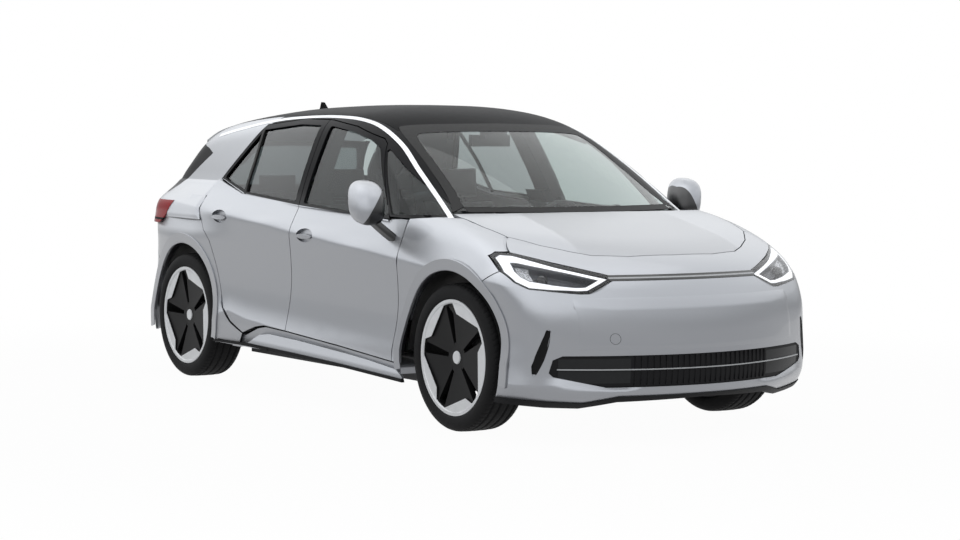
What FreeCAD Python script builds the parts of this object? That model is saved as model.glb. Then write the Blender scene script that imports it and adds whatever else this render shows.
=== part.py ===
"""Electric hatchback car, five doors, built as separate panels round one body envelope.

Frame: +X forward, +Y to the car's left, +Z up, millimetres.
Origin: on the ground, in the middle of the car's length and width.
The envelope is a few master curves (half-width, nose, tail, deck, roof, screen) blended at the corners.
Each panel is a skin lofted over that envelope, given its real thickness and cut along its shut lines.
"""
import FreeCAD
import Part
import math
import os
from FreeCAD import Vector as V

# Driving dimensions
length = 4264.0
wheelbase = 2770.0
front_overhang = 837.0
half_width = 905.0
roof_height = 1548.0
front_track = 1536.0
rear_track = 1513.0
tyre_radius = 351.0
tyre_width = 215.0
rim_radius = 272.0
arch_radius = 412.0
shut_gap = 5.0
door_depth = 85.0
frame_depth = 34.0
skin_wall = 8.0
glass_wall = 5.0
body_wall = 30.0
bumper_wall = 14.0
edge_setback = 22.0
rim_dish = 27.0
blade_phase = 29.0
tip_half = 6.5
running_clearance = 6.0

x_nose = length / 2
x_tail = -length / 2
x_front = x_nose - front_overhang
x_rear = x_front - wheelbase
# the master curves are drawn from the middle of the wheelbase
x_mid = (x_front + x_rear) / 2


def curve(points):
    """A smooth curve through points with no overshoot, straight past its ends."""
    xs = [p[0] for p in points]
    ys = [p[1] for p in points]
    h = [b - a for a, b in zip(xs, xs[1:])]
    d = [(b - a) / s for a, b, s in zip(ys, ys[1:], h)]
    m = [d[0]]
    for i in range(1, len(xs) - 1):
        if d[i - 1] * d[i] <= 0:
            m.append(0.0)
        else:
            w1, w2 = 2 * h[i] + h[i - 1], h[i] + 2 * h[i - 1]
            m.append((w1 + w2) / (w1 / d[i - 1] + w2 / d[i]))
    m.append(d[-1])

    def at(v):
        if v <= xs[0]:
            return ys[0] + (v - xs[0]) * m[0]
        if v >= xs[-1]:
            return ys[-1] + (v - xs[-1]) * m[-1]
        k = 0
        while v > xs[k + 1]:
            k += 1
        t = (v - xs[k]) / h[k]
        rise = ys[k + 1] * (3 - 2 * t) * t * t + ys[k] * (1 + 2 * t) * (1 - t) ** 2
        return rise + h[k] * t * (1 - t) * (m[k] * (1 - t) - m[k + 1] * t)

    return at


# Master curves of the lower body: x is measured from the middle of the wheelbase
half_width_at = curve([(-2100, half_width - 160), (-2000, half_width - 115), (-1800, half_width - 52),
                       (-1500, half_width - 12), (-1000, half_width), (1200, half_width),
                       (1500, half_width - 5), (1750, half_width - 17), (1950, half_width - 30),
                       (2200, half_width - 60)])
shoulder_slope = curve([(-2100, .62), (-1300, .56), (-100, .40), (960, .26), (1600, .30), (2000, .40)])
nose_setback = curve([(100, 200), (180, 60), (250, 10), (330, 0), (410, 2), (500, 14), (614, 52), (680, 90),
                      (745, 136), (800, 186), (860, 262), (920, 360), (1000, 520)])
nose_bow = curve([(200, .40), (400, .385), (650, .33), (900, .33)])
tail_setback = curve([(100, 160), (220, 60), (320, 12), (450, 0), (600, 4), (800, 22), (950, 60),
                      (1050, 100), (1200, 240)])
tail_bow = 0.16
deck_height = curve([(-2100, 940), (-1200, 1060), (200, 1090), (900, 1075), (1100, 1055), (1293, 1026),
                     (1450, 992), (1590, 957), (1750, 914), (1900, 868), (1995, 836), (2100, 790), (2300, 700)])
deck_crown = 0.035
door_foot = 360.0
waist = 26.0

# Master curves of the greenhouse
glass_half_width = curve([(-2100, 660), (-1600, 775), (-1000, 825), (-100, 848), (800, 845), (1170, 800),
                          (1400, 720)])
belt_height = 1030.0
tumblehome = 0.40
screen_x = curve([(980, 1375), (1026, 1293), (1200, 985), (1350, 700), (1455, 475), (1500, 360), (1560, 150)])
screen_bow = 0.41
back_glass_x = curve([(950, -2010), (1050, -1955), (1330, -1720), (1450, -1610)])
back_glass_bow = 0.18
roof_line = curve([(-2100, roof_height - 260), (-1900, roof_height - 196), (-1500, roof_height - 86),
                   (-1100, roof_height - 33), (-700, roof_height - 5), (-300, roof_height + 3),
                   (0, roof_height), (250, roof_height - 18), (500, roof_height - 63),
                   (700, roof_height - 128)])


def blend(a, b, r):
    """The larger of two signed distances, rounded over r where they meet."""
    h = max(r - abs(a - b), 0.0) / r
    return max(a, b) + h * h * r / 4


def crease_height(x):
    return 875 - 0.0845 * (x - x_mid)


def side_at(x, z):
    """Half-width of the body side: leaning in above the crease, waisted below it."""
    c = crease_height(x)
    up, down = max(z - c, 0.0), max(c - z, 0.0)
    lean = shoulder_slope(x - x_mid) * up * (1 + up / 2000)
    u = min(max(down / (c - door_foot), 0.0), 1.0)
    return half_width_at(x - x_mid) - lean - waist * math.sin(math.pi * u ** 1.15)


def lower_body(x, y, z, with_deck=True):
    """Signed distance to the lower body, below zero inside."""
    y = abs(y)
    d = 0.98 * (y - side_at(x, z))
    d = blend(d, 0.85 * (x - (x_nose - nose_setback(z) - nose_bow(z) * y * y / 1000)), 90)
    d = blend(d, 0.95 * (x_tail + tail_setback(z) + tail_bow * y * y / 1000 - x), 160)
    if with_deck:
        d = blend(d, 0.97 * (z - deck_height(x - x_mid) + deck_crown * y * y / 1000), 100)
    return d


def glass_side_at(x, z):
    dz = z - belt_height
    return glass_half_width(x - x_mid) - tumblehome * dz - 0.22 * max(dz, 0) ** 2 / 1000


def roof_at(x, y):
    return roof_line(x - x_mid) - 0.10 * y * y / 1000 - 0.22 * (y / 1000) ** 4 * 1000


def greenhouse(x, y, z):
    """Signed distance to the greenhouse, below zero inside."""
    y = abs(y)
    d = 0.91 * (y - glass_side_at(x, z))
    d = blend(d, 0.47 * (x + screen_bow * y * y / 1000 - x_mid - screen_x(z)), 100)
    d = blend(d, 0.62 * (back_glass_x(z) + x_mid + back_glass_bow * y * y / 1000 - x), 100)
    return blend(d, 0.98 * (z - roof_at(x, y)), 70)


def side_shell(x, y, z):
    return lower_body(x, y, z, False)


def hatch_shell(x, y, z):
    """The rear of the car: the tail below and the sloping back glass above, met with a soft fillet."""
    return -blend(-lower_body(x, y, z, True), -greenhouse(x, y, z), 60)


def meet(distance, start, ray, reach=1600.0, level=0.0):
    """The point where a ray from inside the car passes through the envelope."""
    low, high = 0.0, reach

    def at(t):
        return distance(start.x + ray.x * t, start.y + ray.y * t, start.z + ray.z * t) - level

    f_low, f_high = at(low), at(high)
    for _ in range(40):
        t = (low + high) / 2 if _ % 3 == 2 else low + (high - low) * min(max(-f_low / (f_high - f_low), .02), .98)
        f = at(t)
        if f < 0:
            low, f_low = t, f
        else:
            high, f_high = t, f
        if high - low < 0.002 or abs(f) < 0.0005:
            break
    return start + ray * t


def spread(first, last, count):
    return [first + (last - first) * i / (count - 1) for i in range(count)]


def grid(distance, us, vs, start, ray, level=0.0):
    """Rows of points on the envelope: start and ray give the ray for each pair of u and v."""
    return [[meet(distance, start(u, v), ray(u, v), level=level) for v in vs] for u in us]


def skin(rows):
    surface = Part.BSplineSurface()
    surface.interpolate(rows)
    return surface


def slab(outer_rows, inner_rows):
    """A closed solid between two skins over the same grid."""
    outer, inner = skin(outer_rows), skin(inner_rows)
    faces = [outer.toShape(), inner.toShape()]
    u0, u1, v0, v1 = outer.bounds()
    p0, p1, q0, q1 = inner.bounds()
    for a, b in ((outer.uIso(u0), inner.uIso(p0)), (outer.uIso(u1), inner.uIso(p1)),
                 (outer.vIso(v0), inner.vIso(q0)), (outer.vIso(v1), inner.vIso(q1))):
        faces.append(Part.makeRuledSurface(a.toShape(), b.toShape()))
    shell = Part.Shell(faces)
    shell.sewShape()
    body = Part.makeSolid(shell)
    if body.Volume < 0:
        body.reverse()
    return body


PLANES = {"side": (lambda a, b: V(a, 0, b), V(0, 1, 0)), "front": (lambda a, b: V(0, a, b), V(1, 0, 0)),
          "top": (lambda a, b: V(a, b, 0), V(0, 0, 1))}


def wire_of(points, radius=0.0):
    """A closed outline through corner points, each corner rounded by radius where the sides allow it."""
    n = len(points)
    if radius <= 0:
        return Part.makePolygon(points + [points[0]])
    edges, last = [], None
    starts = []
    for i in range(n):
        p, a, b = points[i], points[i - 1], points[(i + 1) % n]
        da, db = (a - p), (b - p)
        la, lb = da.Length, db.Length
        da.normalize()
        db.normalize()
        half_turn = math.acos(max(-1, min(1, da * db))) / 2
        trim = min(radius / math.tan(half_turn), 0.45 * la, 0.45 * lb)
        if abs(math.pi / 2 - half_turn) < 0.01:
            trim = 0.0
        starts.append((p + da * trim, p, p + db * trim, half_turn, trim))
    for i in range(n):
        first, p, second, half_turn, trim = starts[i]
        if trim > 0:
            r = trim * math.tan(half_turn)
            middle = p + ((first + second) / 2 - p).normalize() * (math.hypot(r, trim) - r)
            edges.append(Part.Arc(first, middle, second).toShape())
        edges.append(Part.LineSegment(second, starts[(i + 1) % n][0]).toShape())
    return Part.Wire(edges)


def prism(plane, outline, low, high, radius=0.0):
    """An outline drawn in a side, front or top view, extruded from low to high."""
    place, along = PLANES[plane]
    wire = wire_of([place(a, b) for a, b in outline], radius)
    face = Part.Face(wire)
    face.translate(along * low)
    return face.extrude(along * (high - low))


def box(x0, x1, y0, y1, z0, z1):
    return Part.makeBox(x1 - x0, y1 - y0, z1 - z0, V(x0, y0, z0))


def rod(x, y, z, radius, depth, axis=V(0, 1, 0)):
    return Part.makeCylinder(radius, depth, V(x, y, z), axis)


def mirrored(shape):
    return shape.mirror(V(0, 0, 0), V(0, 1, 0))


def both(shape):
    return solids_of([shape, mirrored(shape)])


def solids_of(shapes):
    found = [s for shape in shapes for s in shape.Solids]
    return Part.makeCompound(found)


def fused(shapes):
    whole = shapes[0].fuse(shapes[1:])
    return whole.removeSplitter() if len(whole.Solids) == 1 else whole


def placed(points):
    """Outline points given from the middle of the wheelbase, moved to the frame."""
    return [(x + x_mid, z) for x, z in points]


def grown(points, amount):
    """An outline moved outwards by amount, or inwards if it is negative."""
    n = len(points)
    area = sum(points[i][0] * points[(i + 1) % n][1] - points[(i + 1) % n][0] * points[i][1] for i in range(n))
    sign = 1 if area > 0 else -1
    moved = []
    for i in range(n):
        (ax, az), (bx, bz), (cx, cz) = points[i - 1], points[i], points[(i + 1) % n]
        n1 = ((bz - az), -(bx - ax))
        n2 = ((cz - bz), -(cx - bx))
        l1, l2 = math.hypot(*n1), math.hypot(*n2)
        n1, n2 = (n1[0] / l1, n1[1] / l1), (n2[0] / l2, n2[1] / l2)
        k = 1 + n1[0] * n2[0] + n1[1] * n2[1]
        moved.append((bx + sign * amount * (n1[0] + n2[0]) / k, bz + sign * amount * (n1[1] + n2[1]) / k))
    return moved


# Shut lines in the side view, from the middle of the wheelbase: (x, z)
belt_front, belt_middle, belt_kink, belt_tip = (1168, 1006), (452, 993), (-745, 1062), (-1078, 1134)
sill_foot = [(903, 292), (389, 328), (-150, 358)]
door_heel = [(-384, 367), (-474, 354), (-615, 312), (-760, 365), (-860, 430)]
front_door_outline = placed([(903, 292), (928, 640), (945, 814), (963, 985), (452, 996), (-98, 1021),
                             (-111, 895), (-125, 627)] + sill_foot[:0:-1])
rear_door_outline = placed([(-98, 1021), (-745, 1062), (-1078, 1134), (-1127, 969), (-1100, 850), (-1040, 790),
                            (-960, 640)] + door_heel[::-1] + [(-150, 358), (-125, 627), (-111, 895)])
front_frame_outline = placed([(963, 975), (812, 985), (476, 1345), (424, 1372), (142, 1432), (-146, 1464),
                              (-186, 1466), (-98, 1011)])
rear_frame_outline = placed([(-98, 1011), (-186, 1466), (-455, 1470), (-849, 1436), (-1098, 1134),
                             (-745, 1052)])
front_glass_outline = placed([(800, 1000), (462, 1322), (350, 1362), (142, 1404), (-120, 1434), (-60, 1030),
                              (452, 1002)])
rear_glass_outline = placed([(-150, 1036), (-228, 1436), (-455, 1440), (-840, 1408), (-1062, 1140),
                             (-745, 1070)])
quarter_glass_outline = placed([(1150, 1012), (905, 1135), (486, 1338), (815, 1004)])

# Hinges: (x, y) or (x, z) of the pins
front_door_hinge = (x_mid + 993, half_width - 12)
rear_door_hinge = (x_mid - 68, half_width - 12)
bonnet_hinge = (x_mid + 1120, 985)
hatch_hinge = (x_mid - 1375, 1462)


arch_clear = 23.0
jack_pad = (80.0, 60.0)
jack_pad_z = 222.0
handle_pocket = (82, 36)
handle_depth = 20.0
front_pull, rear_pull = (44, 868), (-891, 932)
steer_reach = 232.0
seat_y = 370.0
kingpin_y = front_track / 2 - 70
stub_radius = 30.0
stub_length = 42.0
running_fit = 0.05
kingpin_radius = 12.0
wheel_y = front_track / 2


def xm(x):
    """A place along the car given from the middle of the wheelbase."""
    return x + x_mid


wheel_lean = 68.0
wheel_centre = V(xm(485), seat_y, 872)

lamp_outline = [(416, 742), (429, 762), (645, 818), (785, 861), (827, 863), (852, 845), (862, 779), (842, 733),
                (800, 704), (597, 682), (550, 683)]
bar_outline = [(-430, 757), (430, 757), (418, 742), (-418, 742)]
grille_outline = [(-700, 404), (700, 404), (738, 386), (752, 330), (735, 312), (510, 262), (-510, 262),
                  (-735, 312), (-752, 330), (-738, 386)]
slot_outline = [(748, 520), (766, 524), (819, 360), (817, 324), (800, 322), (770, 400)]
bonnet_half = [(1224, 0), (1212, 300), (1184, 520), (1146, 680), (1128, 757), (1190, 761), (1370, 751), (1521, 719), (1649, 620), (1739, 514), (1793, 430),
               (1837, 249), (1848, 0)]
fender_outline = placed([(903, 292), (928, 640), (945, 814), (966, 990), (1168, 1004), (1300, 1003),
                         (1300, 1120), (1560, 1120), (1611, 926), (1719, 864), (1680, 862), (1664, 845),
                         (1766, 782), (1662, 730), (1590, 640), (1000, 286)])
bumper_outline = placed([(1611, 926), (1560, 1120), (2500, 1120), (2500, 176), (1770, 176), (1700, 322),
                         (1590, 640), (1662, 730), (1766, 782), (1664, 845), (1680, 862), (1719, 864)])
windscreen_outline = [(-668, 1027), (668, 1027), (553, 1424), (300, 1440), (0, 1446), (-300, 1440),
                      (-553, 1424)]
roof_half = [(xm(475), 0), (xm(462), 300), (xm(436), 480), (xm(420), 572), (xm(100), 575), (xm(-400), 572),
             (xm(-1000), 560), (xm(-1372), 548)]
tail_lamp_outline = placed([(-1640, 996), (-2400, 985), (-2400, 850), (-1990, 850), (-1900, 868)])
hatch_half = [(0, 575), (470, 575), (530, 640), (560, 760), (566, 846), (566, 1000), (605, 1040), (585, 1130),
              (545, 1250), (528, 1310), (520, 1336), (0, 1372)]
rear_window_outline = [(-560, 1075), (560, 1075), (520, 1200), (468, 1296), (0, 1310), (-468, 1296),
                       (-520, 1200)]
rear_bumper_outline = placed([(-1650, 560), (-1745, 640), (-1960, 846), (-2500, 846), (-2500, 235),
                              (-1790, 235), (-1700, 322)])


def ringed(left):
    """A symmetrical top-view outline from its left half, whose two ends may lie on the middle line."""
    return left + [(x, -y) for x, y in reversed(left) if y > 0.1]


def two_sided(half):
    """A symmetrical outline from points running up its left half, from middle to middle."""
    return half + [(-a, b) for a, b in reversed(half) if a > 0.1]


def fan_rows(distance, cx, cz, facing, turn, low, high, nu, nv, level=0.0):
    """Rows over one end of the car, by rays fanned from a point inside it."""
    us = [math.radians(a) for a in spread(-turn, turn, nu)]
    vs = [math.radians(a) for a in spread(low, high, nv)]
    centre = V(cx, 0, cz)
    return grid(distance, us, vs, lambda u, v: centre,
                lambda u, v: V(facing * math.cos(u) * math.cos(v), math.sin(u) * math.cos(v), math.sin(v)),
                level)


def front_rows(level=0.0):
    return fan_rows(lower_body, xm(1100), 600, 1, 108, -30, 50, 61, 25, level)


def rear_rows(level=0.0):
    return fan_rows(lower_body, xm(-1150), 650, -1, 106, -30, 46, 53, 23, level)


def deck_rows(level=0.0):
    return grid(lower_body, spread(xm(1150), xm(2000), 24), spread(-800, 800, 33),
                lambda x, y: V(x, y, 500), lambda x, y: V(0, 0, 1), level)


def roof_rows(level=0.0):
    return grid(greenhouse, spread(xm(-1500), xm(600), 28), spread(-640, 640, 25),
                lambda x, y: V(x, y, 1000), lambda x, y: V(0, 0, 1), level)


def roof_only(x, y, z):
    return blend(0.91 * (abs(y) - glass_side_at(x, z)), 0.98 * (z - roof_at(x, y)), 70)


def spoiler_rows(level=0.0):
    return grid(roof_only, spread(xm(-1860), xm(-1340), 12), spread(-600, 600, 25),
                lambda x, y: V(x, y, 1000), lambda x, y: V(0, 0, 1), level)


def screen_rows(level=0.0):
    return grid(greenhouse, spread(-1, 1, 27), spread(1000, 1456, 17),
                lambda s, z: V(xm(-300), s * (758 - 0.40 * (z - 1000)), z), lambda s, z: V(1, 0, 0), level)


def hatch_distance(x, y, z):
    body = lower_body(x, y, z)
    if z < 900:
        return body
    top = greenhouse(x, y, z)
    return -blend(-body, -top, 60)


def hatch_rows(level=0.0):
    return grid(hatch_distance, spread(-1, 1, 27), spread(540, 1385, 27),
                lambda s, z: V(xm(-900), s * (652 - 0.30 * max(z - 1000, 0)), z), lambda s, z: V(-1, 0, 0), level)


def side_rows(level=0.0):
    return grid(side_shell, spread(xm(-1900), xm(1800), 47), spread(150, 1190, 27),
                lambda x, z: V(x, 0, z), lambda x, z: V(0, 1, 0), level)


def glass_rows(level=0.0):
    """Rows over the left side of the greenhouse, by rays fanned round the cabin's long axis."""
    return grid(greenhouse, spread(xm(-1800), xm(1290), 44), [math.radians(a) for a in spread(-8, 74, 20)],
                lambda x, a: V(x, 150, 1000), lambda x, a: V(0, math.cos(a), math.sin(a)), level)


side_face = skin(side_rows()).toShape()
glass_face = skin(glass_rows()).toShape()


def moved(shape, x=0.0, y=0.0, z=0.0):
    copy = shape.copy()
    copy.translate(V(x, y, z))
    return copy


def panel(face, outline, plane, depth, low=-2600, high=2600, radius=0.0, minus=()):
    """A skin trimmed to an outline and thickened along depth."""
    trimmed = face.common(prism(plane, outline, low, high, radius))
    for cutter in minus:
        trimmed = trimmed.cut(cutter)
    return solids_of([f.extrude(depth) for f in trimmed.Faces])


def wheel_void(x, radius, y0=300.0, y1=1300.0):
    """The round space a left wheel turns in."""
    return Part.makeCylinder(radius, y1 - y0, V(x, y0, tyre_radius - 1), V(0, 1, 0))


def wheel_voids(x, radius, y0=300.0):
    return both(wheel_void(x, radius, y0))


def oval(x, z, along, high, y0, y1):
    """An upright oval disc whose flat faces look sideways."""
    ring = Part.Ellipse(V(x + along, y0, z), V(x, y0, z + high), V(x, y0, z)).toShape()
    return Part.Face(Part.Wire([ring])).extrude(V(0, y1 - y0, 0))


def handle(x, z):
    """A pull bar on two posts, and the oval pocket behind it."""
    face = half_width - 1
    pocket = oval(x, z, handle_pocket[0], handle_pocket[1], face - handle_depth, face + 60)
    bar = oval(x, z - 5, handle_pocket[0] - 4, 13, face - 7, face + 7)
    posts = [oval(x + d, z - 5, 13, 9, face - handle_depth - 2, face - 6) for d in (-58, 58)]
    return pocket, bar.fuse(posts)


def door(outline, frame, glass, pull):
    """One left door with its window frame, and its glass: the inner body is set back from the shut lines."""
    lap = skin_wall / 2
    void = [wheel_void(x_rear, arch_radius)]
    wide_void = [wheel_void(x_rear, arch_radius + edge_setback)]
    outer = panel(side_face, grown(outline, -shut_gap / 2), "side", V(0, -skin_wall, 0), minus=void)
    inner = panel(moved(side_face, y=-lap), grown(outline, -edge_setback), "side",
                  V(0, lap - door_depth, 0), minus=wide_void)
    window = prism("side", glass, -2500, 2500, 12)
    frame_outer = panel(glass_face, grown(frame, -shut_gap / 2), "side", V(0, -skin_wall, 0), minus=[window])
    frame_inner = panel(moved(glass_face, y=-lap), grown(frame, -edge_setback + 6), "side",
                        V(0, lap - frame_depth, 0), minus=[window])
    pocket, bar = handle(xm(pull[0]), pull[1])
    whole = outer.fuse(inner).fuse(frame_outer.fuse(frame_inner)).cut(pocket).fuse(bar)
    pane = panel(moved(glass_face, y=-skin_wall - 4), grown(glass, -0.3), "side", V(0, -glass_wall, 0), radius=12)
    return whole, pane


def mirror_left():
    """The door mirror: a rounded housing on a short arm, its glass facing back."""
    shell = prism("top", [(xm(905), 925), (xm(860), 1050), (xm(800), 1072), (xm(738), 1060), (xm(722), 960),
                          (xm(735), 900)], 985, 1165, 30)
    shell = shell.common(prism("front", [(890, 1000), (925, 985), (1075, 1010), (1075, 1140), (1040, 1166),
                                         (930, 1160), (892, 1120)], 0, 1200, 25))
    arm = prism("front", [(850, 900), (898, 900), (1000, 985), (1000, 1010), (930, 1010), (850, 945)],
                xm(790), xm(880), 6)
    door_side = panel(moved(side_face, y=0.3), [(xm(760), 860), (xm(910), 860), (xm(910), 975), (xm(760), 975)],
                      "side", V(0, -60, 0))
    return shell.fuse(arm).cut(door_side)


def side_frame_left(bonnet_hole, roof_void, screen_void):
    """The body side: sill, pillars, cant rail and rear quarter as one pressing with two door openings."""
    gap = shut_gap / 2
    doors = [prism("side", grown(o, gap), -2600, 2600) for o in
             (front_frame_outline, rear_frame_outline, front_door_outline, rear_door_outline)]
    rail_outline = placed([(1285, 1006), (968, 990), (-98, 1012), (-745, 1040), (-1180, 1030), (-1700, 1030),
                           (-1935, 1040), (-1745, 1290), (-1640, 1345), (-1372, 1480), (-300, 1502),
                           (300, 1494), (470, 1430), (900, 1180), (1250, 1020)])
    quarter = prism("side", quarter_glass_outline, -2600, 2600, 8)
    outboard = prism("top", [(xm(1215), 706), (xm(1140), 700), (xm(1085), 640), (xm(827), 570), (xm(565), 525), (xm(440), 510),
                             (xm(-1372), 500), (xm(-1376), 562), (xm(-1600), 566), (xm(-1720), 585),
                             (xm(-1960), 642), (xm(-1960), 1100), (xm(1215), 1100)], 900, 1700)
    top = panel(glass_face, rail_outline, "side", V(0, -58, 0), minus=doors + [quarter])
    top = top.common(outboard).cut(bonnet_hole).cut(roof_void).cut(screen_void)
    band = placed([(-1050, 1210), (-849, 1400), (-455, 1438), (-146, 1438), (142, 1406), (424, 1345),
                   (470, 1375), (150, 1458), (-146, 1480), (-455, 1482), (-860, 1456), (-1120, 1230)])
    inner_rail = panel(moved(glass_face, y=-frame_depth - 5), band, "side", V(0, -40, 0))
    inner_rail = inner_rail.cut(roof_void)
    pillar_top = panel(moved(glass_face, y=-frame_depth - 5), placed([(-28, 1046), (-110, 1465), (-220, 1465),
                                                                     (-172, 1046)]), "side", V(0, -70, 0))
    pillar_low = panel(moved(side_face, y=-door_depth - 6), placed([(-20, 260), (-40, 1085), (-200, 1085),
                                                                   (-230, 260)]), "side", V(0, -60, 0))
    sill = panel(moved(side_face, y=-14), placed([(-985, 236), (968, 236), (968, 280), (389, 320), (-150, 350),
                                                 (-384, 359), (-466, 346), (-600, 300), (-985, 300)]), "side",
                 V(0, -150, 0), minus=[wheel_void(x_rear, arch_radius + 18)])
    post = box(xm(975), xm(1045), 700, 842, 262, 850).fuse(box(xm(975), xm(1045), 690, 742, 840, 1004))
    post = post.fuse(box(xm(975), xm(1060), 690, 802, 988, 1008))
    post = post.cut(wheel_void(x_front, arch_radius + arch_clear))
    seat = door_depth + 0.3
    blocks = [panel(moved(side_face, y=-seat), placed([(x - 38, z), (x, z), (x, z + 46), (x - 38, z + 46)]),
                    "side", V(0, -40, 0)) for x, z in
              ((903, 565), (916, 750), (-190, 420), (-176, 740), (-60, 600))]
    leaf = [box(xm(850), xm(1000), 741, 784, z, z + 46) for z in (565, 750)]
    jamb = panel(moved(side_face, y=-8), placed([(-1135, 1040), (-1133, 969), (-1106, 850), (-1048, 790),
                                                 (-968, 640), (-868, 430), (-790, 330), (-790, 303), (-1300, 303),
                                                 (-1300, 1040)]), "side",
                 V(0, -66, 0), minus=[wheel_void(x_rear, arch_radius + 18)])
    skin_rows = slab(rear_rows(), rear_rows(-12.0))
    quarter_outline = grown(placed([(-1078, 1136), (-1127, 969), (-1100, 850), (-1040, 790), (-960, 640),
                                    (-860, 430), (-760, 365), (-615, 312), (-652, 256), (-1300, 256), (-1650, 560), (-1745, 640),
                                    (-1960, 846), (-1900, 868), (-1640, 996), (-1990, 1000), (-2000, 1070),
                                    (-1700, 1150)]), -gap)
    rear = skin_rows.common(prism("side", quarter_outline, 100, 1300))
    rear = rear.cut(wheel_void(x_rear, arch_radius))
    rear = rear.cut(prism("top", [(xm(-1000), -10), (xm(-1000), 742), (xm(-1500), 714), (xm(-1700), 644),
                                  (xm(-2400), 648), (xm(-2400), -10)], 100, 1500))
    whole = top
    pads = [box(xm(x), xm(x + jack_pad[0]), 790, 790 + jack_pad[1], jack_pad_z, 245) for x in (690, -830)]
    for piece in [inner_rail, pillar_top, pillar_low, sill, post, jamb, rear] + blocks + leaf + pads:
        whole = whole.fuse(piece)
    return whole


def bonnet_horns(bonnet_void):
    """Two arms from the cowl out to the bonnet's hinges."""
    horn = box(xm(1030), xm(1322), 588, 624, 905, 932).fuse(box(xm(1290), xm(1322), 588, 624, 905, 1020))
    return both(horn.cut(bonnet_void))


def floor_pan(bonnet_void):
    """Floor, bulkhead, boot floor, the four rails and the bonnet's hinge arms."""
    tray = box(xm(-1060), xm(1000), -740.7, 740.7, 300, 316)
    tray = tray.cut(wheel_voids(x_rear, arch_radius + arch_clear, 515))
    seat_step = box(xm(-1076), xm(-1060), -508, 508, 300, 600)
    boot = box(xm(-1928), xm(-1060), -500, 500, 584, 600)
    bulkhead = box(xm(1000), xm(1016), -690, 690, 300, 944.7)
    bulkhead = bulkhead.cut(wheel_voids(x_front, arch_radius + arch_clear, 465))
    cowl = prism("top", [(xm(1010), -690), (xm(1010), 690), (xm(1104), 685), (xm(1148), 600), (xm(1198), 480),
                         (xm(1242), 300), (xm(1262), 0), (xm(1242), -300), (xm(1198), -480), (xm(1148), -600),
                         (xm(1104), -685)], 928.7, 944.7)
    rails = both(box(xm(1000), xm(1990), 380, 440, 430, 530))
    cross = box(xm(1990), xm(2050), -520, 520, 420, 540)
    rear_rails = both(box(xm(-1930), xm(-1060), 400, 460, 500, 590))
    rear_cross = box(xm(-1975), xm(-1925), -540, 540, 470, 560)
    whole = tray
    for piece in (seat_step, boot, bulkhead, cowl, rails, cross, rear_rails, rear_cross,
                  bonnet_horns(bonnet_void)):
        whole = whole.fuse(piece)
    return whole


def sill_trim_left():
    """The painted wedge below the doors, the dark strip under it and the blade ahead of the rear wheel."""
    voids = [wheel_void(x_rear, arch_radius), wheel_void(x_front, arch_radius)]
    wedge = panel(moved(side_face, y=-3), placed([(-560, 262), (-437, 314), (-326, 327), (-23, 318), (390, 298),
                                                  (684, 279), (940, 256), (1010, 214), (390, 238), (-54, 250)]),
                  "side", V(0, -10.7, 0), minus=voids)
    strip = panel(moved(side_face, y=3), placed([(-940, 252), (-560, 262), (-54, 252), (390, 240), (1010, 216),
                                                 (1010, 198), (390, 223), (-54, 234), (-560, 244), (-940, 244)]),
                  "side", V(0, -16.7, 0), minus=voids)
    blade = panel(moved(side_face, y=7), placed([(-950, 240), (-940, 250), (-560, 259), (-330, 246), (-330, 238),
                                                 (-560, 246)]), "side", V(0, -20, 0), minus=voids)
    return wedge.fuse([strip, blade])


def arch_liners():
    """Four plastic liners between the wheels and the body."""
    liners = []
    for x, y0, y1 in ((x_front, 470, 838), (x_rear, 520, 796)):
        ring = Part.makeCylinder(arch_radius + 16, y1 - y0, V(x, y0, tyre_radius - 1), V(0, 1, 0))
        ring = ring.cut(Part.makeCylinder(arch_radius + 12, y1 - y0 + 2, V(x, y0 + 4, tyre_radius - 1), V(0, 1, 0)))
        ring = ring.common(box(x - 700, x + 700, 0, 1000, 352, 1200))
        rail_y = 440.3 if x > 0 else 460.3
        rail_z = 470 if x > 0 else 530
        liners.append(ring.fuse(box(x - 240, x - 200, rail_y, y0 + 2, rail_z, rail_z + 40)))
    return both(solids_of(liners))


def revolve(profile, x, y, z):
    """A profile of (axial, radial) points turned about a lateral axis."""
    points = [V(0, a, r) for a, r in profile]
    face = Part.Face(Part.makePolygon(points + [points[0]]))
    turned = face.revolve(V(0, 0, 0), V(0, 1, 0), 360)
    turned.translate(V(x, y, z))
    return turned


def tyre(x, y):
    w = tyre_width / 2
    r = tyre_radius
    profile = [(-w + 16, rim_radius - 13), (-w + 16, rim_radius + 3), (-w + 4, rim_radius + 9),
               (-w, rim_radius + 34), (-w + 3, r - 26),
               (-w + 12, r - 9), (-w + 26, r - 2), (0, r), (w - 26, r - 2), (w - 12, r - 9), (w - 3, r - 26),
               (w, rim_radius + 34), (w - 4, rim_radius + 9), (w - 16, rim_radius + 3), (w - 16, rim_radius - 13)]
    return revolve(profile, x, y, tyre_radius)


def wheel_point(x, share, degrees):
    """A point of the wheel's face, by its share of the rim's radius and its angle from the car's nose."""
    a = math.radians(degrees)
    return x + share * rim_radius * math.cos(a), tyre_radius + share * rim_radius * math.sin(a)


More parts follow.
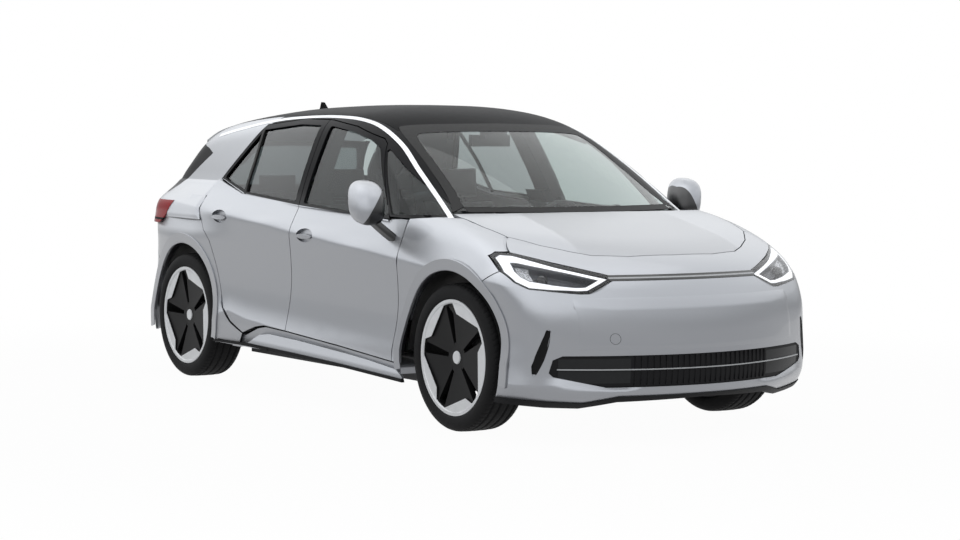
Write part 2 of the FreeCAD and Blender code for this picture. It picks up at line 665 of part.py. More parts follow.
def rim_left(x, y):
    """A wheel for the left side: barrel, five kite blades between slots, five crescents and a hub."""
    w = tyre_width / 2
    r = rim_radius
    barrel = [(-w + 8, r - 12), (-w + 8, r + 2.7), (-w + 15.7, r + 2.7), (-w + 15.7, r - 13.3),
              (w - 15.7, r - 13.3), (w - 15.7, r + 2.7), (w - 8, r + 2.7), (w - 8, r - 12), (w - 15.7, r - 19),
              (w - 30, r - 21), (-w + 30, r - 21), (-w + 15.7, r - 19)]
    whole = revolve(barrel, x, y, tyre_radius)
    face_in = w - rim_dish - 26
    face = [(face_in, 0), (w - rim_dish - 6, 0), (w - rim_dish - 6, 52), (w - 19, r - 20), (w - 31, r - 20),
            (face_in, r - 60)]
    disc = revolve(face, x, y, tyre_radius)
    plates = []
    for k in range(5):
        tip = blade_phase + 72 * k
        slot = [wheel_point(x, share, tip + turn) for share, turn in
                ((.20, 9), (.90, tip_half), (.955, 0), (.90, -tip_half), (.20, -9))]
        disc = disc.cut(prism("side", slot, y - 20, y + 200, 5))
        crescent = [wheel_point(x, share, tip + turn) for share, turn in
                    ((1.0, -tip_half), (.77, -17.5), (.965, -72 + tip_half), (1.3, -72 + tip_half), (1.3, -36),
                     (1.3, -tip_half))]
        plates.append(prism("side", crescent, y + w - 34, y + w - 12))
    round_face = Part.makeCylinder(r - 15, 60, V(x, y + w - 60, tyre_radius), V(0, 1, 0))
    plates = [plate.common(round_face) for plate in plates]
    hub = Part.makeCylinder(70, 60, V(x, y + face_in - 40, tyre_radius), V(0, 1, 0))
    cap = Part.makeCylinder(29, 6, V(x, y + w - rim_dish - 8, tyre_radius), V(0, 1, 0))
    bore = Part.makeCylinder(stub_radius + running_fit, stub_length + 2, V(x, y + face_in - 40, tyre_radius),
                             V(0, 1, 0))
    return whole.fuse([disc, hub, cap] + plates).cut(bore)


def knuckle_left():
    """Hub carrier with brake disc: it steers about the kingpin and carries the wheel's bearing."""
    y_hub = wheel_y + tyre_width / 2 - rim_dish - 26 - 40
    disc = rod(x_front, y_hub - 30, tyre_radius, 165, 26)
    bearing = rod(x_front, y_hub - 90, tyre_radius, 62, 88)
    upright = box(x_front - 35, x_front + 35, y_hub - 105, y_hub - 45, tyre_radius - 140, tyre_radius + 150)
    arm = box(x_front - 150, x_front - 20, y_hub - 95, y_hub - 70, tyre_radius - 90, tyre_radius - 55)
    stub = rod(x_front, y_hub - 10, tyre_radius, stub_radius, stub_length + 10)
    socket = rod(x_front, kingpin_y, tyre_radius - 150, kingpin_radius + running_fit, 44, V(0, 0, 1))
    return disc.fuse([bearing, upright, arm, stub]).cut(socket)


def front_axle():
    """Subframe, lower arms and steering rack."""
    beam = box(x_front - 90, x_front + 90, -380, 380, 190, 250)
    arms = both(prism("top", [(x_front - 80, 370), (x_front + 80, 370), (x_front + 26, kingpin_y + 12),
                              (x_front - 26, kingpin_y + 12)], 176, 204, 10))
    pins = both(rod(x_front, kingpin_y, 200, kingpin_radius, 42, V(0, 0, 1)))
    rack = rod(x_front - 150, -330, 300, 26, 660)
    towers = both(box(x_front - 40, x_front + 40, 330, 420, 190, 429.7))
    return beam.fuse([arms, pins, rack, towers, box(x_front - 175, x_front - 85, -60, 60, 230, 300)])


def rear_axle():
    """Beam, trailing arms, hubs and brake discs that carry the rear wheels."""
    y_hub = rear_track / 2 + tyre_width / 2 - rim_dish - 26 - 40
    beam = rod(x_rear + 20, -600, 300, 45, 1200)
    hubs = both(rod(x_rear, y_hub - 150, tyre_radius, 62, 148))
    discs = both(rod(x_rear, y_hub - 30, tyre_radius, 150, 26))
    links = both(box(x_rear - 60, x_rear + 70, y_hub - 200, y_hub - 120, 262, 400))
    arms = both(box(x_rear + 20, x_rear + 375, 430, 490, 262, 299.7))
    towers = both(box(x_rear - 30, x_rear + 50, 440, 490, 290, 499.7))
    stubs = both(rod(x_rear, y_hub - 10, tyre_radius, stub_radius, stub_length + 10))
    return beam.fuse([hubs, discs, links, arms, towers, stubs])


def seat(y, wide=500):
    """One front seat: cushion, backrest, headrest and runner."""
    half = wide / 2
    cushion = prism("side", placed([(-330, 400), (-300, 520), (160, 560), (235, 540), (230, 440), (160, 400)]),
                    y - half, y + half, 30)
    back = prism("side", placed([(-210, 500), (-330, 500), (-410, 700), (-500, 1010), (-395, 1020), (-300, 740)]),
                 y - half + 10, y + half - 10, 25)
    head = prism("side", placed([(-500, 1035), (-520, 1190), (-430, 1200), (-395, 1110), (-400, 1045)]),
                 y - 130, y + 130, 25)
    posts = box(xm(-462), xm(-450), y - 60, y - 48, 990, 1060).fuse(box(xm(-462), xm(-450), y + 48, y + 60, 990, 1060))
    runner = box(xm(-300), xm(200), y - 210, y + 210, 316.3, 405)
    return cushion.fuse([back, head, posts, runner])


def rear_seat():
    cushion = prism("side", placed([(-1055, 330), (-1055, 560), (-620, 590), (-560, 560), (-575, 330)]),
                    -640, 640, 25)
    back = prism("side", placed([(-1056, 540), (-1180, 1010), (-1110, 1030), (-1000, 760), (-930, 560)]),
                 -640, 640, 20)
    heads = [prism("side", placed([(-1190, 1040), (-1200, 1150), (-1130, 1150), (-1110, 1050)]), y - 120, y + 120, 20)
             for y in (-390, 390)]
    posts = [box(xm(-1162), xm(-1150), y - 6, y + 6, 1000, 1060) for y in (-430, -350, 350, 430)]
    whole = cushion.fuse([back] + heads + posts)
    whole = whole.cut(box(xm(-1300), xm(-1055.7), -700, 700, 400, 600.3))
    return whole.cut(wheel_voids(x_rear, arch_radius + arch_clear, 512))


def dashboard():
    """Dashboard with its top pad, down to the knees."""
    pad = prism("side", placed([(985, 700), (985, 945), (1210, 945), (1215, 975), (1060, 992), (820, 998),
                                (640, 965), (600, 900), (660, 760), (800, 640), (960, 600)]), -672, 672, 14)
    pad = pad.common(prism("top", ringed([(xm(400), 672), (xm(1070), 672), (xm(1108), 600), (xm(1160), 480),
                                          (xm(1204), 300), (xm(1224), 0)]), 500, 1100))
    pad = pad.cut(box(xm(400), xm(960), 120, 620, 500, 800))
    screen = box(xm(600), xm(618), -20, 150, 890, 1030)
    lean = math.radians(wheel_lean)
    along = V(math.sin(lean), 0, -math.cos(lean))
    start = wheel_centre + along * 33
    column = Part.makeCylinder(38, 150, start, along)
    bore = Part.makeCylinder(kingpin_radius + running_fit, 80, start - along, along)
    return pad.fuse([screen, column]).cut(bore)


def cowl():
    """Cowl strip below the windscreen, standing on a lip that follows the screen's foot."""
    foot = [(xm(1230), 0), (xm(1210), 300), (xm(1166), 480), (xm(1114), 600), (xm(1082), 668)]
    lip = prism("top", [(x + 8, y) for x, y in foot] + [(x, y) for x, y in reversed(foot)], 945, 1004)
    strip = prism("top", foot + [(xm(1228), 684), (xm(1262), 600), (xm(1278), 520), (xm(1306), 300), (xm(1316), 0)],
                  992, 1004)
    left = lip.fuse(strip)
    return left.fuse(mirrored(left))


def steering_wheel():
    ring = Part.makeTorus(178, 15)
    boss = Part.makeCylinder(55, 45, V(0, 0, -30))
    bars = [Part.makeBox(330, 34, 14, V(-165, -17, -14)), Part.makeBox(30, 160, 14, V(-15, -165, -14))]
    shaft = Part.makeCylinder(kingpin_radius, 75, V(0, 0, -100))
    whole = ring.fuse([boss, shaft] + bars)
    whole.rotate(V(0, 0, 0), V(0, 0, 1), 90)
    whole.rotate(V(0, 0, 0), V(0, 1, 0), -wheel_lean)
    whole.translate(wheel_centre)
    return whole


def hub_face(track):
    """The lateral place where a wheel's hub meets its carrier."""
    return track / 2 + tyre_width / 2 - rim_dish - 26 - 40


def write(name, shape):
    shape = solids_of([shape])
    assert shape.Solids, name
    shape.exportStep("parts/" + name + ".step")
    print(name, len(shape.Solids), round(shape.Volume / 1e6, 2), shape.isValid(), flush=True)


def two(name, shape):
    """Writes a left piece and its mirror image on the right."""
    write(name + "_left", shape)
    write(name + "_right", mirrored(shape))


def set_in(outline, low, high, outer, plug, flange, grow=9.0):
    """A piece that fills an opening in the skin, with a flange seated behind its edge."""
    front = plug.common(prism("front", outline, low, high, 4))
    back = flange.common(prism("front", grown(outline, grow), low, high, 4))
    return front.fuse(back)


def front_end(bonnet_top, bonnet_hole):
    shell = slab(front_rows(), front_rows(-12.0))
    plug = slab(front_rows(-4.0), front_rows(-16.0))
    flange = slab(front_rows(-12.3), front_rows(-52.0))
    gap = shut_gap / 2
    lamp_holes = both(prism("front", grown(lamp_outline, 2), 1540, 2300))
    fender = shell.common(prism("side", grown(fender_outline, -gap), 100, 1300))
    fender = fender.cut(bonnet_hole).cut(lamp_holes).cut(wheel_void(x_front, arch_radius))
    fender = fender.cut(prism("top", [(900, -760), (1300, -760), (1300, 760), (900, 760)], 900, 1300))
    tab = box(xm(985), xm(1035), 842.3, 885, 790, 830)
    write("front_fenders", both(fender.fuse(tab)))
    bumper = shell.common(prism("side", grown(bumper_outline, -gap), -1300, 1300))
    bumper = bumper.cut(bonnet_hole).cut(lamp_holes).cut(wheel_voids(x_front, arch_radius))
    bumper = bumper.cut(prism("front", grown(grille_outline, 2), 1500, 2300))
    bumper = bumper.cut(prism("front", grown(bar_outline, 2), 1700, 2300))
    bumper = bumper.cut(both(prism("front", slot_outline, 1700, 2300)))
    lip_top = [(0, 218), (442, 216), (587, 184), (730, 192), (960, 216)]
    lip_foot = [(960, 190), (730, 164), (587, 158), (442, 189), (0, 201)]
    under = two_sided([(0, 60)] + [(960, 60)] + [(y, z + .3) for y, z in reversed(lip_top)])
    bumper = bumper.cut(prism("front", under, 1300, 2300))
    mounts = both(box(x_nose - 171.7, x_nose - 44, 300, 340, 462, 500))
    write("front_bumper", bumper.fuse(mounts))
    lamp = set_in(lamp_outline, 1540, 2300, 0, plug, flange, 7)
    lamp = lamp.cut(bonnet_hole)
    bar = set_in(bar_outline, 1700, 2300, 0, plug, flange.common(box(1700, 2300, -400, 400, 700, 800)), 7)
    write("headlamps", solids_of([lamp.fuse([mirrored(lamp), bar])]))
    grille = set_in(grille_outline, 1500, 2300, 0, plug, flange)
    backing = slab(front_rows(-12.3), front_rows(-26.0))
    slots = backing.common(prism("front", grown(slot_outline, 8), 1700, 2300))
    slots = slots.cut(prism("front", grown(grille_outline, 10), 1500, 2300))
    lip_shell = slab(front_rows(5.0), front_rows(-38.0))
    lip = lip_shell.common(prism("front", two_sided([(y, z) for y, z in reversed(lip_foot)] + lip_top[::-1]),
                                 1650, 2300))
    lip = lip.cut(wheel_voids(x_front, arch_radius))
    write("lower_grille", solids_of([grille, both(slots), lip]))
    deck = skin(deck_rows()).toShape()
    bonnet = panel(deck, grown(bonnet_top, -gap), "top", V(0, 0, -10))
    inner = panel(moved(deck, z=-5), grown(bonnet_top, -32), "top", V(0, 0, -20))
    write("bonnet", bonnet.fuse(inner))


def rear_end():
    gap = shut_gap / 2
    shell = slab(rear_rows(), rear_rows(-12.0))
    hatch_outline = two_sided(hatch_half)
    hatch_hole = prism("front", grown(hatch_outline, gap), -2500, -1400)
    bumper = shell.common(prism("side", grown(rear_bumper_outline, -gap), -1300, 1300))
    bumper = bumper.cut(wheel_voids(x_rear, arch_radius)).cut(hatch_hole)
    mounts = both(box(x_tail + 22, x_tail + 66.7, 300, 340, 490, 530))
    write("rear_bumper", bumper.fuse(mounts))
    plug = slab(rear_rows(-3.0), rear_rows(-16.0))
    flange = slab(rear_rows(-12.3), rear_rows(-50.0))
    lamps = plug.common(prism("side", grown(tail_lamp_outline, -gap), -1300, 1300))
    lamps = lamps.fuse(flange.common(prism("side", grown(tail_lamp_outline, 8), -1300, 1300)))
    write("tail_lamps", lamps.cut(hatch_hole))
    back = skin(hatch_rows()).toShape()
    glass_hole = prism("front", rear_window_outline, -2600, 0, 10)
    outer = panel(back, grown(hatch_outline, -gap), "front", V(12, 0, 0), minus=[glass_hole])
    inner = panel(moved(back, x=6), grown(hatch_outline, -24), "front", V(44, 0, 0), minus=[glass_hole])
    wing = skin(spoiler_rows()).toShape()
    spoiler = panel(wing, ringed([(xm(-1850), 0), (xm(-1840), 440), (xm(-1800), 505), (xm(-1600), 535),
                                  (xm(-1377), 540)]), "top", V(0, 0, -26))
    header = prism("side", placed([(-1388, 1452), (-1500, 1440), (-1700, 1398), (-1733, 1372), (-1720, 1322),
                                   (-1690, 1322), (-1670, 1378), (-1500, 1410), (-1388, 1424)]), -300, 300)
    write("tailgate", outer.fuse([inner, header, spoiler]))
    pane = panel(moved(back, x=4), grown(rear_window_outline, -0.3), "front", V(glass_wall, 0, 0), radius=10)
    write("rear_window", pane)


def top_pieces():
    """Roof and windscreen, with the spaces they need in the body sides."""
    gap = shut_gap / 2
    roof_outline = ringed([(x, y) for x, y in roof_half])
    roof = skin(roof_rows()).toShape()
    screen = skin(screen_rows()).toShape()
    roof_void = panel(moved(roof, z=6), grown(roof_outline, gap), "top", V(0, 0, -20.3))
    screen_void = panel(moved(screen, x=6), grown(windscreen_outline, gap), "front", V(-16.3, 0, 0))
    top = panel(roof, roof_outline, "top", V(0, 0, -14)).cut(screen_void)
    hinges = both(box(xm(-1376.7), xm(-1320), 330, 370, 1442, 1464))
    fin = prism("side", placed([(-1362, 1482), (-1228, 1482), (-1262, 1528), (-1306, 1568), (-1322, 1570)]), -8, 8)
    top = top.fuse([hinges, fin])
    write("roof_panel", top)
    write("windscreen", panel(screen, windscreen_outline, "front", V(-10, 0, 0)))
    return roof_void, screen_void


def main():
    os.makedirs("parts", exist_ok=True)
    front_door, front_pane = door(front_door_outline, front_frame_outline, front_glass_outline, front_pull)
    two("front_door", front_door)
    two("front_window", front_pane)
    rear_door, rear_pane = door(rear_door_outline, rear_frame_outline, rear_glass_outline, rear_pull)
    two("rear_door", rear_door)
    two("rear_window_pane", rear_pane)
    two("mirror", mirror_left())
    bonnet_top = ringed(bonnet_half)
    bonnet_hole = prism("top", grown(bonnet_top, shut_gap / 2), 500, 1500)
    front_end(bonnet_top, bonnet_hole)
    rear_end()
    roof_void, screen_void = top_pieces()
    write("side_frames", both(side_frame_left(bonnet_hole, roof_void, screen_void)))
    quarter = panel(moved(glass_face, y=-8), grown(quarter_glass_outline, -0.3), "side", V(0, -glass_wall, 0), radius=8)
    write("quarter_windows", both(quarter.cut(screen_void)))
    deck = skin(deck_rows()).toShape()
    bonnet_void = panel(moved(deck, z=40), bonnet_top, "top", V(0, 0, -65.3))
    write("floor_pan", floor_pan(bonnet_void))
    write("arch_liners", arch_liners())
    write("battery_pack", box(xm(-1000), xm(900), -640, 640, 165, 299.7))
    write("drive_unit", box(x_rear - 160, x_rear + 150, -250, 250, 352, 492).fuse(
        [rod(x_rear, -300, 420, 60, 600), both(box(x_rear - 60, x_rear + 60, 190, 240, 480, 583.7))]))
    write("front_axle", front_axle())
    write("rear_axle", rear_axle())
    two("knuckle", knuckle_left())
    for end, x, track in (("front", x_front, front_track), ("rear", x_rear, rear_track)):
        two("tyre_" + end, tyre(x, track / 2))
        two("rim_" + end, rim_left(x, track / 2))
    write("front_seats", solids_of([seat(seat_y), seat(-seat_y)]))
    write("rear_seat", rear_seat())
    write("dashboard", dashboard())
    write("steering_wheel", steering_wheel())
    write("interior_mirror", box(xm(395), xm(425), -120, 120, 1330, 1390).fuse(box(xm(425), xm(470), -70, 70, 1370, 1437.2)))
    write("sill_trims", both(sill_trim_left()))
    write("wipers", cowl())


main()
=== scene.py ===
import math

import bmesh
import bpy
import numpy as np
from mathutils import Matrix, Vector


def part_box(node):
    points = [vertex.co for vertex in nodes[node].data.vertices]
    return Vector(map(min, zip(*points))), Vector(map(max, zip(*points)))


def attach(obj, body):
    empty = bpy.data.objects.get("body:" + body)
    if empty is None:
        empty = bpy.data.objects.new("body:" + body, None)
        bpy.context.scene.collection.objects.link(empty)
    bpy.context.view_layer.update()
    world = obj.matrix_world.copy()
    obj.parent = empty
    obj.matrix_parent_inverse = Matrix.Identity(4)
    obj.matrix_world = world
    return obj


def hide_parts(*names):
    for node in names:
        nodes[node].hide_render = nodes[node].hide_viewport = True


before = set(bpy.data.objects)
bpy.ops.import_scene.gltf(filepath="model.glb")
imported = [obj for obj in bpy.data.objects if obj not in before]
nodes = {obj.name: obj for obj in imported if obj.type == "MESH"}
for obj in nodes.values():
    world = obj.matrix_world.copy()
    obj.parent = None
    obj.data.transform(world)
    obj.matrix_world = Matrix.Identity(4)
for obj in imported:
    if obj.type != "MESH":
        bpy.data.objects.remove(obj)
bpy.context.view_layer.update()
print("frame loaded:", len(nodes), "nodes")


def wheelOf(node):
    low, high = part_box(node)
    return (low + high) / 2, (high.z - low.z) / 2


frontWheel, rearWheel = (wheelOf("tyre_%s_left" % end)[0] for end in ("front", "rear"))
midX = (frontWheel.x + rearWheel.x) / 2      # the outlines below are drawn from the middle of the wheelbase

cameraView = {
    "azimuth": 55.791,       # degrees round the car, 0 looks along +Y
    "elevation": 3.596,
    "roll": 0.488,
    "place": (10.247, -6.801, 1.440),
    "focal": 2295.5,         # pixels of a picture 960 wide
    "pictureWidth": 960,
    "sensor": 36.0,
    "sight": 200,            # metres
}


def makeCamera(view):
    a, e, r = (math.radians(view[k]) for k in ("azimuth", "elevation", "roll"))
    back = Vector((math.sin(a) * math.cos(e), -math.cos(a) * math.cos(e), math.sin(e)))
    right = Vector((math.cos(a), math.sin(a), 0))
    up = back.cross(right)
    turnedRight = math.cos(r) * right + math.sin(r) * up
    turnedUp = math.cos(r) * up - math.sin(r) * right
    data = bpy.data.cameras.new("photoCamera")
    data.sensor_width = view["sensor"]
    data.lens = view["focal"] * view["sensor"] / view["pictureWidth"]
    data.clip_end = view["sight"]
    camera = bpy.data.objects.new("photoCamera", data)
    turn = Matrix((turnedRight, turnedUp, back)).transposed().to_4x4()
    camera.matrix_world = Matrix.Translation(view["place"]) @ turn
    bpy.context.scene.collection.objects.link(camera)
    bpy.context.scene.camera = camera


makeCamera(cameraView)
print("camera placed")

studio = {
    "floorSize": 80.0,
    "floorColour": (0.50, 0.50, 0.51),  # what the floor throws back on the car
    "floorGlow": 0.97,                  # share of plain white that the camera sees near the car
    "fadeFrom": 2.6, "fadeTo": 5.5,     # metres from the middle, where the floor turns to plain white
    "roomTint": (0.97, 0.985, 1.0),
    "wallLight": 0.10, "ceilingLight": .95,     # what matt surfaces get from the walls and the lit ceiling
    "wallShine": 0.68, "ceilingShine": 2.42,    # what glossy ones show of them
    "farSide": 0.70, "farFrom": -0.30, "farTo": 0.45,   # the side of the room at the car's left is dimmer
    "ceilingFrom": 0.03, "ceilingTo": 0.44,      # sine of the height at which the ceiling begins and is full
    "overheadPower": 45, "overheadSize": (6.0, 3.0), "overheadPlace": (0.2, -0.2, 4.2), "overheadAim": (0, 0, 0.6),
}


def node(tree, kind, place=(0, 0), **values):
    made = tree.nodes.new(kind)
    made.location = place
    for name, value in values.items():
        setattr(made, name, value)
    return made


def link(tree, a, b):
    tree.links.new(a, b)


def math2(tree, kind, a, b):
    made = node(tree, "ShaderNodeMath", operation=kind)
    for k, value in enumerate((a, b)):
        if isinstance(value, (int, float)):
            made.inputs[k].default_value = value
        elif value is not None:
            link(tree, value, made.inputs[k])
    return made.outputs[0]


def folded(tree, kind, first, *others):
    for other in others:
        first = math2(tree, kind, first, other)
    return first


def smoothRange(tree, value, fromLow, fromHigh, toLow, toHigh):
    # goes smoothly from toLow to toHigh while the value goes from fromLow to fromHigh
    made = node(tree, "ShaderNodeMapRange", (-900, 0), interpolation_type="SMOOTHSTEP")
    for key, limit in (("From Min", fromLow), ("From Max", fromHigh), ("To Min", toLow), ("To Max", toHigh)):
        made.inputs[key].default_value = limit
    link(tree, value, made.inputs["Value"])
    return made.outputs[0]


def raysSeen(tree, *kinds):
    # one for rays of these kinds, zero for all others
    path = node(tree, "ShaderNodeLightPath", (-900, 300))
    return folded(tree, "MAXIMUM", *(path.outputs["Is %s Ray" % kind] for kind in kinds))


def mixed(tree, share, first, second):
    made = node(tree, "ShaderNodeMixShader", (200, 0))
    for source, target in zip((share, first, second), made.inputs):
        link(tree, source, target)
    return made.outputs[0]


def makeWorld(values):
    world = bpy.data.worlds.new("paleRoom")
    world.use_nodes = True
    tree = world.node_tree
    tree.nodes.clear()
    facing = node(tree, "ShaderNodeTexCoord", (-1300, 0))
    parts = node(tree, "ShaderNodeSeparateXYZ", (-1100, 0))
    link(tree, facing.outputs["Generated"], parts.inputs[0])
    rise, glow = {}, {}
    for kind in ("Light", "Shine"):
        rise[kind] = smoothRange(tree, parts.outputs["Z"], values["ceilingFrom"], values["ceilingTo"],
                                 values["wall" + kind], values["ceiling" + kind])
    far = smoothRange(tree, parts.outputs["Y"], values["farFrom"], values["farTo"], 1.0, values["farSide"])
    rise["Shine"] = math2(tree, "MULTIPLY", far, rise["Shine"])
    for kind, strength in rise.items():
        glow[kind] = node(tree, "ShaderNodeBackground", (-300, 0))
        glow[kind].inputs["Color"].default_value = (*values["roomTint"], 1)
        link(tree, strength, glow[kind].inputs["Strength"])
    white = node(tree, "ShaderNodeBackground", (-300, -300))
    white.inputs["Color"].default_value = (1, 1, 1, 1)
    room = mixed(tree, raysSeen(tree, "Glossy"), glow["Light"].outputs[0], glow["Shine"].outputs[0])
    behind = mixed(tree, raysSeen(tree, "Camera", "Transmission"), room, white.outputs[0])
    link(tree, behind, node(tree, "ShaderNodeOutputWorld", (400, 0)).inputs[0])
    bpy.context.scene.world = world


def areaLight(name, power, size, place, target):
    data = bpy.data.lights.new(name, "AREA")
    data.energy = power
    data.shape = "RECTANGLE"
    data.size, data.size_y = size
    light = bpy.data.objects.new(name, data)
    light.location = place
    light.rotation_euler = (Vector(target) - Vector(place)).to_track_quat("-Z", "Y").to_euler()
    bpy.context.scene.collection.objects.link(light)


def makeFloor(values):
    half = values["floorSize"] / 2
    mesh = bpy.data.meshes.new("floor")
    mesh.from_pydata([(-half, -half, 0), (half, -half, 0), (half, half, 0), (-half, half, 0)], [], [(0, 1, 2, 3)])
    floor = bpy.data.objects.new("floor", mesh)
    bpy.context.scene.collection.objects.link(floor)
    paint = bpy.data.materials.new("floorWhite")
    paint.use_nodes = True
    tree = paint.node_tree
    tree.nodes.clear()
    matt = node(tree, "ShaderNodeBsdfDiffuse", (-300, 0))
    matt.inputs["Color"].default_value = (*values["floorColour"], 1)
    glow = node(tree, "ShaderNodeEmission", (-300, -150))
    away = node(tree, "ShaderNodeVectorMath", (-1100, -300), operation="LENGTH")
    link(tree, node(tree, "ShaderNodeTexCoord", (-1300, -300)).outputs["Object"], away.inputs[0])
    fade = smoothRange(tree, away.outputs["Value"], values["fadeFrom"], values["fadeTo"], values["floorGlow"], 1.0)
    share = math2(tree, "MULTIPLY", raysSeen(tree, "Camera", "Glossy", "Transmission"), fade)
    surface = mixed(tree, share, matt.outputs[0], glow.outputs[0])
    link(tree, surface, node(tree, "ShaderNodeOutputMaterial", (400, 0)).inputs[0])
    mesh.materials.append(paint)


makeWorld(studio)
areaLight("overhead", *(studio["overhead" + key] for key in ("Power", "Size", "Place", "Aim")))
makeFloor(studio)
bpy.context.scene.view_settings.view_transform = "Standard"
print("studio lit")


def smoothCurve(at, points):
    # a cubic through the points whose slopes are harmonic means of the rises beside them, so it never overshoots
    xs, ys = np.array(points, float).T
    step = np.diff(xs)
    rise = np.diff(ys) / step
    slope = np.concatenate((rise[:1], np.zeros(len(xs) - 2), rise[-1:]))
    before, after = rise[:-1], rise[1:]
    w1, w2 = 2 * step[1:] + step[:-1], step[1:] + 2 * step[:-1]
    turns = before * after <= 0
    slope[1:-1] = np.where(turns, 0, (w1 + w2) / (w1 / np.where(turns, 1, before) + w2 / np.where(turns, 1, after)))
    at = np.asarray(at, float)
    k = np.clip(np.searchsorted(xs, at, "right") - 1, 0, len(xs) - 2)
    t = np.clip((at - xs[k]) / step[k], 0, 1)
    level = ys[k] + (ys[k + 1] - ys[k]) * t * t * (3 - 2 * t)
    level = level + step[k] * t * (1 - t) * (slope[k] * (1 - t) - slope[k + 1] * t)
    before, past = np.where(at < xs[0], (at - xs[0]) * slope[0], 0), np.where(at > xs[-1], (at - xs[-1]) * slope[-1], 0)
    return level + before + past


def blendMax(a, b, r):
    # the larger of two distances, rounded over r where they meet
    h = np.maximum(r - np.abs(a - b), 0) / r
    return np.maximum(a, b) + h * h * r / 4


noseX, halfWidth, roofTop = 2.132, 0.905, 1.548
envelope = {
    "crease": (.875, -.0845),        # height at the middle of the wheelbase, and rise per metre forward
    "waist": (.36, .026, 1.15),      # its foot, its depth, and how far up its deepest place lies
    "deckCrown": .035,
    "scales": (.98, .85, .97),       # bring the slants of side, nose and deck to true distances
    "rounds": (.09, .10),            # side into nose, both into deck
    "width": [(-2.1, -.160), (-2.0, -.115), (-1.8, -.052), (-1.5, -.012), (-1.0, 0), (1.2, 0), (1.5, -.005),
              (1.75, -.017), (1.95, -.030), (2.2, -.060)],
    "lean": [(-2.1, .62), (-1.3, .56), (-.1, .40), (.96, .26), (1.6, .30), (2.0, .40)],
    "setback": [(.10, .20), (.18, .06), (.25, .01), (.33, 0), (.41, .002), (.50, .014), (.614, .052), (.68, .09),
                (.745, .136), (.80, .186), (.86, .262), (.92, .36), (1.0, .52)],
    "bow": [(.2, .40), (.4, .385), (.65, .33), (.9, .33)],
    "deck": [(-2.1, .94), (-1.2, 1.06), (.2, 1.09), (.9, 1.075), (1.1, 1.055), (1.293, 1.026), (1.45, .992),
             (1.59, .957), (1.75, .914), (1.9, .868), (1.995, .836), (2.1, .79), (2.3, .70)],
    "glassWidth": [(-2.1, .66), (-1.6, .775), (-1.0, .825), (-.1, .848), (.8, .845), (1.17, .80), (1.4, .72)],
    "screen": [(.98, 1.375), (1.026, 1.293), (1.2, .985), (1.35, .70), (1.455, .475), (1.5, .36), (1.56, .15)],
    "roof": [(-2.1, -.26), (-1.9, -.196), (-1.5, -.086), (-1.1, -.033), (-.7, -.005), (-.3, .003), (0, 0),
             (.25, -.018), (.5, -.063), (.7, -.128)],
    "glassFoot": 1.03, "glassLean": (.40, .22), "screenBow": .41, "roofCrown": (.10, .22),
    "glassScales": (.91, .47, .98),  # side glass, windscreen, roof
    "glassRounds": (.10, .07),
}


def creaseHeight(x):
    height, slope = envelope["crease"]
    return height + slope * (x - midX)


def sideWidth(x, z):
    # widest along the crease, leaning in above it and waisted between it and the sill
    foot, depth, power = envelope["waist"]
    up = np.maximum(z - creaseHeight(x), 0)
    down = np.clip((creaseHeight(x) - z) / (creaseHeight(x) - foot), 0, 1)
    width = halfWidth + smoothCurve(x - midX, envelope["width"])
    lean = smoothCurve(x - midX, envelope["lean"]) * up * (1 + up / 2)
    return width - lean - depth * np.sin(math.pi * down ** power)


def coordinates(points):
    return points[..., 0], np.abs(points[..., 1]), points[..., 2]


def bodyDistance(points):
    # signed distance to the lower body's front half: side, nose and deck, each rounded into the next
    x, y, z = coordinates(points)
    scales, rounds = envelope["scales"], envelope["rounds"]
    nose = noseX - smoothCurve(z, envelope["setback"]) - smoothCurve(z, envelope["bow"]) * y * y
    deck = z - smoothCurve(x - midX, envelope["deck"]) + envelope["deckCrown"] * y * y
    side = blendMax(scales[0] * (y - sideWidth(x, z)), scales[1] * (x - nose), rounds[0])
    return blendMax(side, scales[2] * deck, rounds[1])


def glassDistance(points):
    # signed distance to the greenhouse: side glass, windscreen and roof
    x, y, z = coordinates(points)
    scales, rounds, lean, crown = (envelope[key] for key in ("glassScales", "glassRounds", "glassLean", "roofCrown"))
    rise = z - envelope["glassFoot"]
    side = y - smoothCurve(x - midX, envelope["glassWidth"]) + lean[0] * rise + lean[1] * np.maximum(rise, 0) ** 2
    screen = x + envelope["screenBow"] * y * y - midX - smoothCurve(z, envelope["screen"])
    roof = z - roofTop - smoothCurve(x - midX, envelope["roof"]) + crown[0] * y * y + crown[1] * y ** 4
    return blendMax(blendMax(scales[0] * side, scales[1] * screen, rounds[0]), scales[2] * roof, rounds[1])


def reach(distance, start, ray, far=1.6, halvings=24):
    # halves the span between an inside and an outside point of each ray until it closes on the surface
    low = np.zeros(start.shape[:-1])
    high = low + far
    for _ in range(halvings):
        middle = (low + high) / 2
        inside = distance(start + ray * middle[..., None]) < 0
        low, high = np.where(inside, middle, low), np.where(inside, high, middle)
    return start + ray * low[..., None]


def unit(vectors):
    return vectors / np.linalg.norm(vectors, axis=-1, keepdims=True)


def outward(distance, points, step=2e-4):
    # the surface's normal: the unit vector along which the distance rises fastest
    rises = [distance(points + step * e) - distance(points - step * e) for e in np.eye(3)]
    return unit(np.stack(rises, -1))


def settled(distance, points, rounds=14):
    # points moved along the surface's own normals until they lie on it
    for _ in range(rounds):
        points = points - distance(points)[..., None] * outward(distance, points)
    return points


